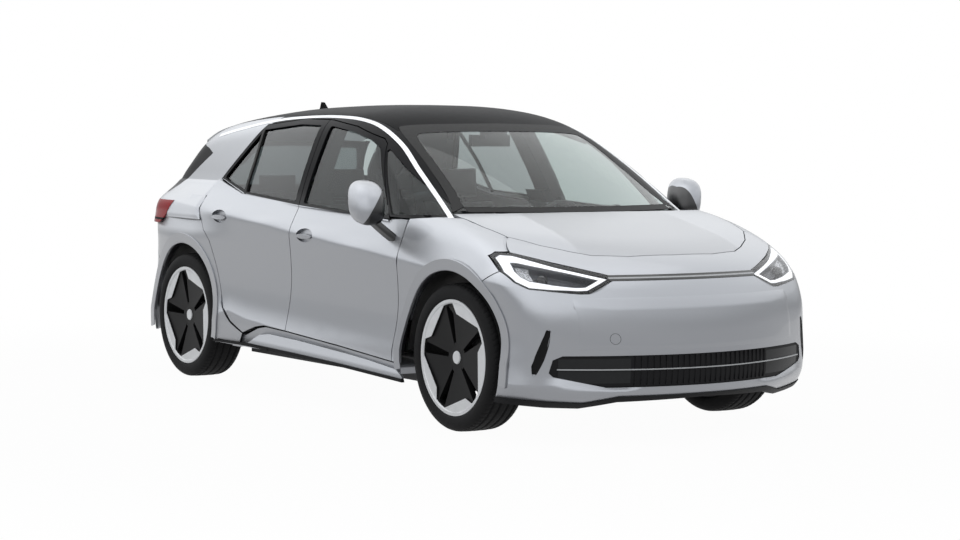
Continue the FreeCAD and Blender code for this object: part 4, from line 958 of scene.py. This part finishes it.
# wheel arches: a flat band round each, which the leaning wing above it runs into
flare = {
    "inner": .4125, "outer": .470, "doorSide": .454,     # radii, the last one on the front arch's side by the door
    "section": (0, 0, .04, .35, .7, .96, 1, 1),          # shares of the way from the inner radius to the outer
    # how far it stands out at its inner and outer edge, then how its edges fold back to the skin and into it
    "low": .0015, "proud": .007, "edge": .0025, "lip": .003, "sunk": .004, "drop": .001,
    "from": -12, "to": 192, "rows": 129,
}


def archBand(centre, values, pull):
    # a shallow section carried round the arch, standing on the side's own surface
    turn = np.radians(np.linspace(values["from"], values["to"], values["rows"]))[:, None]
    outer = values["outer"] - pull * np.clip(-np.cos(turn), 0, 1)
    share = np.array(values["section"])[None, :]
    r = values["inner"] + share * (outer - values["inner"])
    x, z = centre.x + r * np.cos(turn), centre.z - values["drop"] + r * np.sin(turn)
    y = sideWidth(x, np.minimum(z, creaseHeight(x))) + values["low"] + share * (values["proud"] - values["low"])
    skin = sideWidth(x, z)
    y[:, 1] -= values["edge"]
    y[:, -2] = np.maximum(y[:, -2] - values["edge"], skin[:, -2] - values["lip"])
    y[:, [0, -1]] = skin[:, [0, -1]] - values["sunk"]
    return tube(np.stack([x, y, z], -1))


bands = [archBand(frontWheel, flare, flare["outer"] - flare["doorSide"]), archBand(rearWheel, flare, 0)]
makePiece("wheelArchFlares", bothSides(*bands), materials["flarePaint"], "body")


# the toe ahead of the rear wheel: a skin that closes the rear quarter's foot
quarterToe = {
    "top": [(-.935, .512), (-.868, .424), (-.768, .359), (-.700, .333), (-.622, .308)],
    "bottom": [(-.962, .262), (-.880, .259), (-.790, .257), (-.720, .257), (-.650, .258)],
    "count": 40, "rows": 12, "proud": .0006, "wall": .004,
}


def sidePatch(values):
    bottom, top = (along(shifted(values[key]), values["count"]) for key in ("bottom", "top"))
    flat = between(bottom, top, values["rows"])
    x, z = flat[..., 0], flat[..., 1]
    y = sideWidth(x, z) + values["proud"]
    return slab(np.stack([x, y, z], -1), np.stack([x, y - values["wall"], z], -1))


makePiece("quarterToes", bothSides(sidePatch(quarterToe)), materials["bodyPaint"], "body")
print("arches made")


# silver strip from the windscreen's foot along the roof's edge
railStrip = {
    "path": [(1.291, .760, 1.000), (1.060, .722, 1.135), (.799, .680, 1.254), (.534, .630, 1.365), (.194, .600, 1.457),
             (-.238, .585, 1.477), (-.600, .588, 1.466), (-.900, .600, 1.438), (-1.150, .612, 1.402),
             (-1.400, .606, 1.352)],
    "width": .026, "proud": .0018, "wall": .004, "count": 150,
    # across the strip: shares of half its width and of its height
    "section": [(-1, -1.2), (-.96, .8), (-.5, 1), (0, 1), (.5, 1), (.96, .8), (1, -1.2)],
}


def stripOnGlass(values):
    path = settled(glassDistance, along(shifted(values["path"]), values["count"]))
    across = np.cross(outward(glassDistance, path), np.gradient(path, axis=0))
    across = unit(np.broadcast_to(values.get("across", across), path.shape))
    side, rise = np.array(values["section"], float).T[:, None, :, None]
    face = settled(glassDistance, path[:, None] + across[:, None] * (side * (values["width"] / 2)))
    normal = outward(glassDistance, face)
    return slab(face + normal * (values["proud"] * rise), face - normal * values["wall"])


makePiece("railStrips", bothSides(stripOnGlass(railStrip)), materials["stripSilver"], "body")
print("roof strips made")


# door mirrors: a silver cap on a black housing, carried by an arm
doorMirror = {
    "centre": (.806, .992, 1.062), "radii": (.086, .080, .107), "corner": .72, "leanOut": .064, "leanDown": .144,
    "cutAt": .80, "cutBow": .012,        # behind this share of its depth the housing is cut nearly flat for the glass
    "glass": (.0574, .07216), "glassOut": .0105, "glassThick": .004, "glassRings": 8, "glassTurns": 48,
    "arm": [(.812, .975, .985), (.845, .915, .925), (.862, .868, .885)],
    "armSize": (.074, .036), "armCorner": .45, "armRows": 14, "armCount": 24,
}


def eggForm(centre, radii, corner, rows=40, cols=64):
    # a superellipsoid: its sections turn from round to square as corner falls below one
    a = np.linspace(-math.pi / 2, math.pi / 2, rows)[:, None]
    b = np.linspace(0, 2 * math.pi, cols, endpoint=False)[None, :]

    def power(v):
        return np.sign(v) * np.abs(v) ** corner

    shape = np.stack([power(np.cos(a)) * power(np.cos(b)), power(np.cos(a)) * power(np.sin(b)),
                      power(np.sin(a)) + 0 * b], -1)
    return shape * np.array(radii) + np.array(centre), shape


def mirrorParts(values):
    cx, cy, cz = values["centre"]
    cx = cx + midX
    points, unitForm = eggForm((cx, cy, cz), values["radii"], values["corner"])
    back = cx - values["radii"][0] * values["cutAt"]
    points[..., 1] += values["leanOut"] * (points[..., 2] - cz)
    points[..., 2] -= values["leanDown"] * (points[..., 0] - cx)
    points[..., 0] = np.maximum(points[..., 0], back + values["cutBow"] * (1 - unitForm[..., 2] ** 2))
    turn = np.linspace(0, 2 * math.pi, values["glassTurns"] + 1)
    share = np.linspace(0, 1, values["glassRings"])[:, None]
    halfWidth, halfHeight = values["glass"]
    disc = np.stack(np.broadcast_arrays(back + values["glassOut"], cy + share * np.cos(turn) * halfWidth,
                                        cz + share * np.sin(turn) * halfHeight), -1)
    path = along(shifted(values["arm"]), values["armRows"])
    ahead = unit(np.gradient(path, axis=0))
    across = np.array([1.0, 0, 0]) - ahead * ahead[:, :1]
    section = roundedBar(*values["armSize"], values["armCorner"], values["armCount"])
    arm = tube(sweep(path, across, np.cross(ahead, across), section))
    return [sheet(points, closedCols=True), arm, slab(disc, disc + [values["glassThick"], 0, 0])]


leftMirror = mirrorParts(doorMirror)
for side, (housing, arm, plate) in (("left", leftMirror), ("right", [flipped(part) for part in leftMirror])):
    shell = makePiece("mirrorHousing_" + side, [housing, arm], materials["mirrorShell"], "front_door_" + side,
                      40)
    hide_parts("mirror_" + side)
    makePiece("mirrorGlass_" + side, [plate], materials["mirrorGlass"], "front_door_" + side)
print("door mirrors made")


# headlamps: a sunk housing with a pale light band, a lens and a clear cover, joined by a bar across the nose
lampShape = {
    "upper": [(.418, .757), (.429, .762), (.645, .818), (.785, .861), (.827, .8625), (.851, .846)],
    "lower": [(.417, .741), (.550, .683), (.597, .6815), (.700, .690), (.800, .704), (.842, .733), (.862, .779)],
    "across": 250, "up": 96,
    "rim": (.016, .007), "band": (.015, .034), "outerFrom": .60, "outerOver": .22,   # widths by the nose and outwards
    "rimSunk": .0022, "rimStep": .006, "rimSoft": .006, "bandProud": .004, "bandHalf": .38,
    "floor": .036, "floorSoft": .016,
    "maskHalf": .46, "cellsFrom": .752, "cellsSoft": .006, "cellsInto": 1.15, "cellsFade": .2, "rimFade": 8,
    "coverStep": 3, "coverProud": .0004, "coverSunk": .0014,
    "lensAt": (.722, .757), "lensRadii": (.020, .031, .031), "lensSunk": .040, "lensGrid": (32, 48),
}


def distanceTo(points, line):
    # the least distance from each point to a line of corners
    a, b = np.array(line[:-1])[:, None, None], np.array(line[1:])[:, None, None]
    run = b - a
    t = np.clip(((points - a) * run).sum(-1) / (run ** 2).sum(-1), 0, 1)
    return np.linalg.norm(points - a - t[..., None] * run, axis=-1).min(0)


def lampParts(values):
    # sunk below the nose's skin by the distance from the outline: a rim, a raised band, then the floor
    lower, upper = (along(values[key], values["across"]) for key in ("lower", "upper"))
    flat = between(lower, upper, values["up"])
    outline = (values["lower"], values["upper"], [values["upper"][-1], values["lower"][-1]])
    edge = np.min([distanceTo(flat, line) for line in outline], axis=0)
    y, z = flat[..., 0], flat[..., 1]
    outer = softStep((y - values["outerFrom"]) / values["outerOver"])
    rim, band = (near + (far - near) * outer for near, far in (values["rim"], values["band"]))
    into = (edge - rim) / band
    depth = values["rimSunk"] + values["rimStep"] * softStep((edge - rim * .5) / values["rimSoft"])
    depth = depth - values["bandProud"] * np.exp(-((into - .5) / values["bandHalf"]) ** 4)
    depth = depth + values["floor"] * softStep((edge - rim - band) / values["floorSoft"])
    # what the material reads: where the pale band, the reflector's small cells and the black rim lie
    inner = softStep((into - values["cellsInto"]) / values["cellsFade"])
    masks = {"band": np.exp(-((into - .5) / values["maskHalf"]) ** 8),
             "cells": softStep((y - values["cellsFrom"]) / values["cellsSoft"]) * inner,
             "rim": softStep(.5 - values["rimFade"] * into)}
    some = (slice(None, None, values["coverStep"]),) * 2
    cover = slab(onNose(y[some], z[some], -values["coverProud"]), onNose(y[some], z[some], values["coverSunk"]))
    return sheet(onNose(y, z, depth)), cover, masks


def lensPart(values):
    centre = onNose(*values["lensAt"], values["lensSunk"])
    ball, _ = eggForm(centre, values["lensRadii"], 1.0, *values["lensGrid"])
    return sheet(ball, closedCols=True)


shell, cover, masks = lampParts(lampShape)
lampBody = makePiece("headlampHousings", bothSides(shell), materials["lampHousing"], "body", 180,
                     {key: np.tile(mask.ravel(), 2) for key, mask in masks.items()})
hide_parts("headlamps")
makePiece("headlampCovers", bothSides(cover), materials["lampCover"], "body")
makePiece("headlampLenses", bothSides(lensPart(lampShape)), materials["lampLens"], "body")

lampBar = {
    "half": .436, "low": .7360, "high": .7640, "across": 120, "up": 29, "proud": .0012, "wall": .02,
    "line": (.7502, .0030), "lineProud": .0012, "edge": (.750, .0122, .002), "edgeSunk": .0022,
}


def noseGrid(values):
    # sideways and upward places of a grid over the nose
    across = np.linspace(-values["half"], values["half"], values["across"])
    return np.meshgrid(across, np.linspace(values["low"], values["high"], values["up"]), indexing="ij")


def barPart(values):
    # proud of the nose, with a raised line along its middle and sunk edges
    y, z = noseGrid(values)
    lineAt, lineHalf = values["line"]
    middle, edgeFrom, edgeOver = values["edge"]
    depth = -values["proud"] - values["lineProud"] * np.exp(-((z - lineAt) / lineHalf) ** 4)
    depth = depth + values["edgeSunk"] * softStep((np.abs(z - middle) - edgeFrom) / edgeOver)
    return slab(onNose(y, z, depth), onNose(y, z, values["wall"]))


makePiece("headlampBar", [barPart(lampBar)], materials["lampBar"], "body")
print("headlamps made")


# nose: a smooth skin over the bumper, its round cover, the side slots and the grille's blade and fins
bumperFace = {
    "half": .640, "low": .425, "high": .672, "across": 181, "up": 61, "proud": .0020, "fade": .03,
    "edgeSunk": .0012, "edgeFade": .012, "wall": .003,
    "mountSide": (.32, .023), "mountHeight": (.481, .022), "mountOut": .0004, "mountSunk": .002,
}
noseDetail = {
    "cover": (.476, .482, .0235), "jointRing": (0, .0008, .0014), "jointProud": .0025, "jointDeep": .003,
    "jointTurns": 65,
    "slotLine": [(.7560, .528), (.7700, .465), (.7885, .400), (.8020, .350), (.8105, .312)],
    "slotWidth": [(0, .0075), (.3, .0160), (.6, .0185), (.85, .0125), (1, .0070)],
    "slotRows": 60, "slotCols": 11, "slotEnds": 9, "slotLean": .12, "slotProud": .0008, "slotSunk": .0035,
    "slotWall": .012,
    "blade": .722, "bladeHeight": .341, "bladeBow": .004, "bladeProud": .0030, "bladeDeep": .020, "bladeRows": 161,
    "bladeFront": (.0024, -.0024), "bladeBack": (-.004, .0032),
    "fins": 26, "finReach": .385, "finHeight": (.270, .402), "finHalf": .0022, "finProud": .0015, "finDeep": .02,
}


def bumperMesh(values):
    # the bumper's own mesh, merged, with the corners of its mounts that reach through its skin drawn back behind it
    source = nodes["front_bumper"].data
    corners, triangles = np.empty(len(source.vertices) * 3), np.empty(len(source.polygons) * 3, int)
    source.vertices.foreach_get("co", corners)
    source.polygons.foreach_get("vertices", triangles)
    corners = corners.reshape(-1, 3)
    out = bodyDistance(corners)
    near = [np.abs(np.abs(corners[:, k]) - at) < half for k, (at, half) in ((1, values["mountSide"]),
                                                                           (2, values["mountHeight"]))]
    through = near[0] & near[1] & (out > values["mountOut"])
    corners[through, 0] -= out[through] / envelope["scales"][1] + values["mountSunk"]
    return corners, triangles.reshape(-1, 3)


def skinOver(values):
    # lies just proud of the nose, and sinks into it along its edges
    y, z = noseGrid(values)
    inside = np.minimum(values["half"] - np.abs(y), np.minimum(z - values["low"], values["high"] - z))
    lift = values["proud"] * softStep(inside / values["fade"])
    lift = lift - values["edgeSunk"] * (1 - softStep(inside / values["edgeFade"]))
    return slab(onNose(y, z, -lift), onNose(y, z, values["wall"]))


def slotCover(values):
    # a black leaf along a line, its width tapering to both ends and its middle sunk
    line = along(values["slotLine"], values["slotRows"])
    share = np.linspace(0, 1, values["slotRows"])
    ends = np.sqrt(np.clip(1 - np.abs(2 * share - 1) ** values["slotEnds"], 0, 1))
    width = (smoothCurve(share, values["slotWidth"]) * ends)[:, None]
    across = np.linspace(-1, 1, values["slotCols"])
    y, z = line[:, :1] + width * across, line[:, 1:] + width * across * values["slotLean"]
    depth = values["slotSunk"] * (1 - across ** 2) - values["slotProud"]
    return slab(onNose(y, z, np.broadcast_to(depth, y.shape)), onNose(y, z, values["slotWall"]))


def coverJoint(values):
    across, height, radius = values["cover"]
    turn = np.linspace(0, 2 * math.pi, values["jointTurns"])[:, None]
    ring = radius + np.array(values["jointRing"])
    skin = onNose(ring * np.cos(turn) - across, height + ring * np.sin(turn), -values["jointProud"])
    return slab(skin, skin - [values["jointDeep"], 0, 0])


def bladePart(values):
    y = np.linspace(-values["blade"], values["blade"], values["bladeRows"])
    z = values["bladeHeight"] + values["bladeBow"] * np.abs(y / values["blade"]) ** 2
    front, back = onNose(y, z, -values["bladeProud"]), onNose(y, z, values["bladeDeep"])
    corners = [edge + [0, 0, rise] for edge, rises in ((front, values["bladeFront"]), (back, values["bladeBack"]))
               for rise in rises]
    return tube(np.stack(corners, 1))


def finPart(values, y):
    front = onNose(np.full(2, y), np.array(values["finHeight"]), -values["finProud"])
    back, half = front - [values["finDeep"], 0, 0], np.array([0, values["finHalf"], 0])
    return tube(np.stack([front - half, front + half, back + half, back - half], 1))


bumperShell = makePiece("bumperShell", [bumperMesh(bumperFace)], materials["bodyPaint"], "body", 30)
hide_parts("front_bumper")
makePiece("bumperSkin", [skinOver(bumperFace)], materials["bodyPaint"], "body", 180)
makePiece("bumperSlots", bothSides(slotCover(noseDetail)), materials["slotBlack"], "body")
makePiece("towCoverJoint", [coverJoint(noseDetail)], materials["slotBlack"], "body")
makePiece("grilleBlade", [bladePart(noseDetail)], materials["bladeTrim"], "body")
finPlaces = np.linspace(-noseDetail["finReach"], noseDetail["finReach"], noseDetail["fins"])
makePiece("grilleFins", [finPart(noseDetail, y) for y in finPlaces], materials["finBlack"], "body")
print("nose details made")


# rear quarter: the shoulder under the C-pillar's foot and the tail lamp's wing round the corner
quarter = {
    "deck": [(-2.1, .985), (-1.9, 1.050), (-1.2, 1.075), (.2, 1.090)], "deckBow": .035,
    "tail": [(.10, .160), (.22, .060), (.32, .012), (.45, 0), (.60, .004), (.80, .022), (.95, .060), (1.05, .100),
             (1.20, .240)], "tailBow": .16,
    "backGlass": [(.95, -2.010), (1.05, -1.955), (1.33, -1.720), (1.45, -1.610)], "backBow": .18,
    "scales": (.98, .95, .97, .62), "rounds": (.16, .10, .10), "fillet": .09,
    # the shoulder: its front edge and heights, and where and how far it turns round the corner
    "ahead": [(.90, -1.120), (.969, -1.136), (1.06, -1.122), (1.134, -1.107)], "low": .905, "high": 1.130,
    "turnAt": -1.48, "turn": 151, "straight": .35, "from": .40, "around": 110, "up": 50,
    "proud": .0038, "sunk": .003, "wall": .006, "fades": (30, 12, 8),
    # the lamp's wing: its front edge, and how far back it goes
    "wing": [(-1.470, 1.000), (-1.520, .961), (-1.600, .906), (-1.700, .866)], "wingTo": -1.915, "wingFrom": .30,
    "wingUp": 24, "wingAcross": 40, "wingProud": .0053, "wingWall": .003,
}


def rearDistance(points):
    # signed distance to the rear: the lower body with its tail and deck, and the greenhouse, met with a fillet
    x, y, z = coordinates(points)
    scales, rounds = quarter["scales"], quarter["rounds"]
    side = scales[0] * (y - sideWidth(x, z))
    tail = scales[1] * (-noseX + smoothCurve(z, quarter["tail"]) + quarter["tailBow"] * y * y - x)
    deck = scales[2] * (z - smoothCurve(x - midX, quarter["deck"]) + quarter["deckBow"] * y * y)
    back = scales[3] * (smoothCurve(z, quarter["backGlass"]) + midX + quarter["backBow"] * y * y - x)
    lower = blendMax(blendMax(side, tail, rounds[0]), deck, rounds[1])
    return -blendMax(-lower, -blendMax(glassDistance(points), back, rounds[2]), quarter["fillet"])


def leaf(distance, start, ray, proud, wall):
    # a thin solid on the surface where the rays meet it
    found = reach(distance, start, ray)
    normal = outward(distance, found)
    return slab(found + normal * proud, found - normal * wall)


def quarterShoulder(values):
    # rays straight out to the side as far as the turning point, then fanning round the corner
    a, b = np.linspace(0, 1, values["around"])[:, None], np.linspace(0, 1, values["up"])[None, :]
    z = np.linspace(values["low"], values["high"], values["up"])[None, :]
    front, straight = smoothCurve(z, values["ahead"]), values["straight"]
    x = midX + front + (values["turnAt"] - front) * np.clip(a / straight, 0, 1)
    turn = np.radians(90 + (values["turn"] - 90) * np.clip((a - straight) / (1 - straight), 0, 1))
    start = np.stack(np.broadcast_arrays(x, values["from"], z), -1)
    ray = np.stack(np.broadcast_arrays(np.cos(turn), np.sin(turn), 0), -1)
    # it sinks into the body along its edges
    ahead, behind, edge = values["fades"]
    inside = np.minimum(np.minimum(a * ahead, (1 - a) * behind), np.minimum(b, 1 - b) * edge)
    lift = values["proud"] - (values["proud"] + values["sunk"]) * (1 - softStep(inside))
    return leaf(rearDistance, start, ray, lift[..., None], values["wall"])


def lampWing(values):
    ahead = along(values["wing"], values["wingUp"])
    behind = ahead * [0, 1] + [values["wingTo"], 0]
    flat = between(ahead, behind, values["wingAcross"])
    start = np.stack(np.broadcast_arrays(flat[..., 0] + midX, values["wingFrom"], flat[..., 1]), -1)
    return leaf(rearDistance, start, np.array([0, 1.0, 0]), values["wingProud"], values["wingWall"])


makePiece("quarterShoulders", bothSides(quarterShoulder(quarter)), materials["framePaint"], "body", 180)
makePiece("tailLampWings", bothSides(lampWing(quarter)), materials["tailLamp"], "body")
print("rear quarters made")


# windscreen: the black border baked round its edge
screenBorder = {
    "outline": [(.690, 1.020), (.655, 1.080), (.612, 1.230), (.566, 1.405), (.540, 1.432), (.300, 1.447), (0, 1.452)],
    "inner": [(.620, 1.046), (.600, 1.100), (.566, 1.230), (.526, 1.372), (.492, 1.396), (.290, 1.408), (0, 1.412)],
    "footHalf": .62, "footHigh": 1.046, "footLow": 1.022,
    "count": 90, "footCount": 80, "rows": 5, "from": -.30, "proud": .0012, "wall": .0010,
}


def onScreen(flat, values):
    start = np.stack(np.broadcast_arrays(values["from"], flat[..., 0], flat[..., 1]), -1)
    return leaf(glassDistance, start, np.array([1.0, 0, 0]), values["proud"], values["wall"])


def borderParts(values):
    outer, inner = (along(values[key], values["count"]) for key in ("outline", "inner"))
    across = np.linspace(-values["footHalf"], values["footHalf"], values["footCount"])
    foot = [np.stack(np.broadcast_arrays(across, values[key]), -1) for key in ("footHigh", "footLow")]
    return [*bothSides(onScreen(between(outer, inner, values["rows"]), values)),
            onScreen(between(*foot, values["rows"]), values)]


makePiece("windscreenBorder", borderParts(screenBorder), materials["screenBorder"], "body")
print("windscreen border made")


# seats: crowned pads with bolsters, sewn channels and a seam round each edge
padding = {
    # place and heading as (forward, up); length, width and thickness; the crowned face; bolster; sewn channels
    "front": {"cushion": ((-.045, .480), (.995, .087), (.545, .490, .110), 1, .022, (-.55, -.1, .35)),
              "back": ((-.362, .765), (-.330, .944), (.520, .470, .090), -1, .022, (-.45, 0, .45)),
              "head": ((-.452, 1.118), (-.120, .993), (.160, .255, .088), -1, .0, ())},
    "rear": {"cushion": ((-.812, .480), (.998, .060), (.470, 1.000, .190), 1, .012, (-.4, .2)),
             "back": ((-1.066, .790), (-.312, .950), (.455, 1.020, .090), -1, .010, (-.4, .1, .55)),
             "head": ((-1.153, 1.098), (-.05, .999), (.100, .230, .066), -1, .0, ())},
    "frontWidth": .25, "rearHeads": (-.39, .39), "rows": 90, "cols": 96,
    "endPower": 7, "sidePower": 9, "edgePower": .42, "crown": .16, "waist": .03, "under": .92,
    "bolsterFrom": .60, "bolsterOver": .20, "seamAt": .62, "seamDepth": .006, "channelDepth": .005, "seamHalf": .005,
}


def padForm(shape, side, values):
    # a crowned pad in shares a and b of its half length and half width, pressed in along the seams
    place, heading, (length, width, thick), face, bolster, sewn = shape
    a, b = (np.sin(np.linspace(-math.pi / 2, math.pi / 2, values[key])) for key in ("rows", "cols"))
    a, b = a[:, None], b[None, :]
    bulge = (1 - np.abs(a) ** values["endPower"]) * (1 - np.abs(b) ** values["sidePower"])
    rise = np.clip(bulge, 0, 1) ** values["edgePower"]
    crown = 1 - values["crown"] + values["crown"] * (1 - a * a) * (1 - b * b)
    top = thick / 2 * crown + bolster * softStep((np.abs(b) - values["bolsterFrom"]) / values["bolsterOver"])
    seam = np.exp(-((np.abs(b) - values["seamAt"]) * width / 2 / values["seamHalf"]) ** 2)
    top = top - values["seamDepth"] * seam * (bolster > 0)
    for at in sewn:
        channel = np.exp(-((a - at) * length / 2 / values["seamHalf"]) ** 2)
        top = top - values["channelDepth"] * channel * (np.abs(b) < values["seamAt"])
    u = a * length / 2 * (1 - values["waist"] * (1 - b * b))
    v = b * width / 2 * (1 - values["waist"] * (1 - a * a))
    forward, up = unit(np.array(heading))
    normal = np.array([-up, 0, forward]) * face
    middle = np.array([place[0] + midX, side, place[1]])
    middle = middle + u[..., None] * [forward, 0, up] + v[..., None] * [0, 1, 0]
    return slab(middle + normal * (top * rise)[..., None],
                middle - normal * (thick / 2 * values["under"] * rise)[..., None])


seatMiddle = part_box("front_seats")[1][1] - padding["frontWidth"]
seatPieces = []
for row, places in (("front", (-seatMiddle, seatMiddle)), ("rear", (0.0,))):
    for label, shape in padding[row].items():
        at = padding["rearHeads"] if (row, label) == ("rear", "head") else places
        for y in at:
            name = "%sSeat%s%s" % (row, label.capitalize(), "" if len(at) == 1 else ("Right" if y < 0 else "Left"))
            pad = makePiece(name, [padForm(shape, y, padding)], materials["seatCloth"], "body", 180)
            seatPieces.append(pad)
            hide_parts("front_seats" if row == "front" else "rear_seat")

fittings = {
    # the head rests' posts: (forward, up) and height; the bars: both ends, height and section
    "frontPosts": (-.456, .985, .080), "frontSpread": .054,
    "rearPosts": (-1.152, .990, .070), "rearSides": (-.43, -.35, .35, .43),
    "postRadius": .006, "postLean": .01, "postTurns": 16,
    "runners": ((-.300, .200), .360, (.040, .080, .6, 12)), "runnerSpread": .19,
    "bases": ((-.290, .150), .408, (.40, .030, .6, 16)),
}


def post(x, z, height, y):
    turn = np.linspace(0, 2 * math.pi, fittings["postTurns"], endpoint=False)
    section = np.stack([np.cos(turn), np.sin(turn)], -1) * fittings["postRadius"]
    path = [(x + midX, y, z), (x + midX - fittings["postLean"], y, z + height)]
    return tube(sweep(path, [1, 0, 0], [0, 1, 0], section))


def seatBar(ends, z, section, y):
    return tube(sweep([(x + midX, y, z) for x in ends], [0, 1, 0], [0, 0, 1], roundedBar(*section)))


def besideSeats(spread):
    return [middle + off for middle in (-seatMiddle, seatMiddle) for off in (-spread, spread)]


makePiece("seatFittings", [*(post(*fittings["frontPosts"], y) for y in besideSeats(fittings["frontSpread"])),
                           *(post(*fittings["rearPosts"], y) for y in fittings["rearSides"]),
                           *(seatBar(*fittings["runners"], y) for y in besideSeats(fittings["runnerSpread"])),
                           *(seatBar(*fittings["bases"], y) for y in (-seatMiddle, seatMiddle))],
          materials["seatTrim"], "body")
print("seats made:", len(seatPieces))


# bars that part the fixed glass from the rest in the rear doors
doorBar = {
    "path": [(-.742, .820, 1.055), (-.749, .817, 1.072), (-.786, .738, 1.242), (-.847, .645, 1.405)],
    "width": .022, "proud": .0005, "wall": .012, "count": 40,
    "section": [(-1, 1), (-.5, 1), (0, 1), (.5, 1), (1, 1)], "across": (1, 0, 0),
}
bar = stripOnGlass(doorBar)
for side, part in (("left", bar), ("right", flipped(bar))):
    makePiece("rearDoorBar_" + side, [part], materials["screenBorder"], "rear_door_" + side)
print("door bars made")
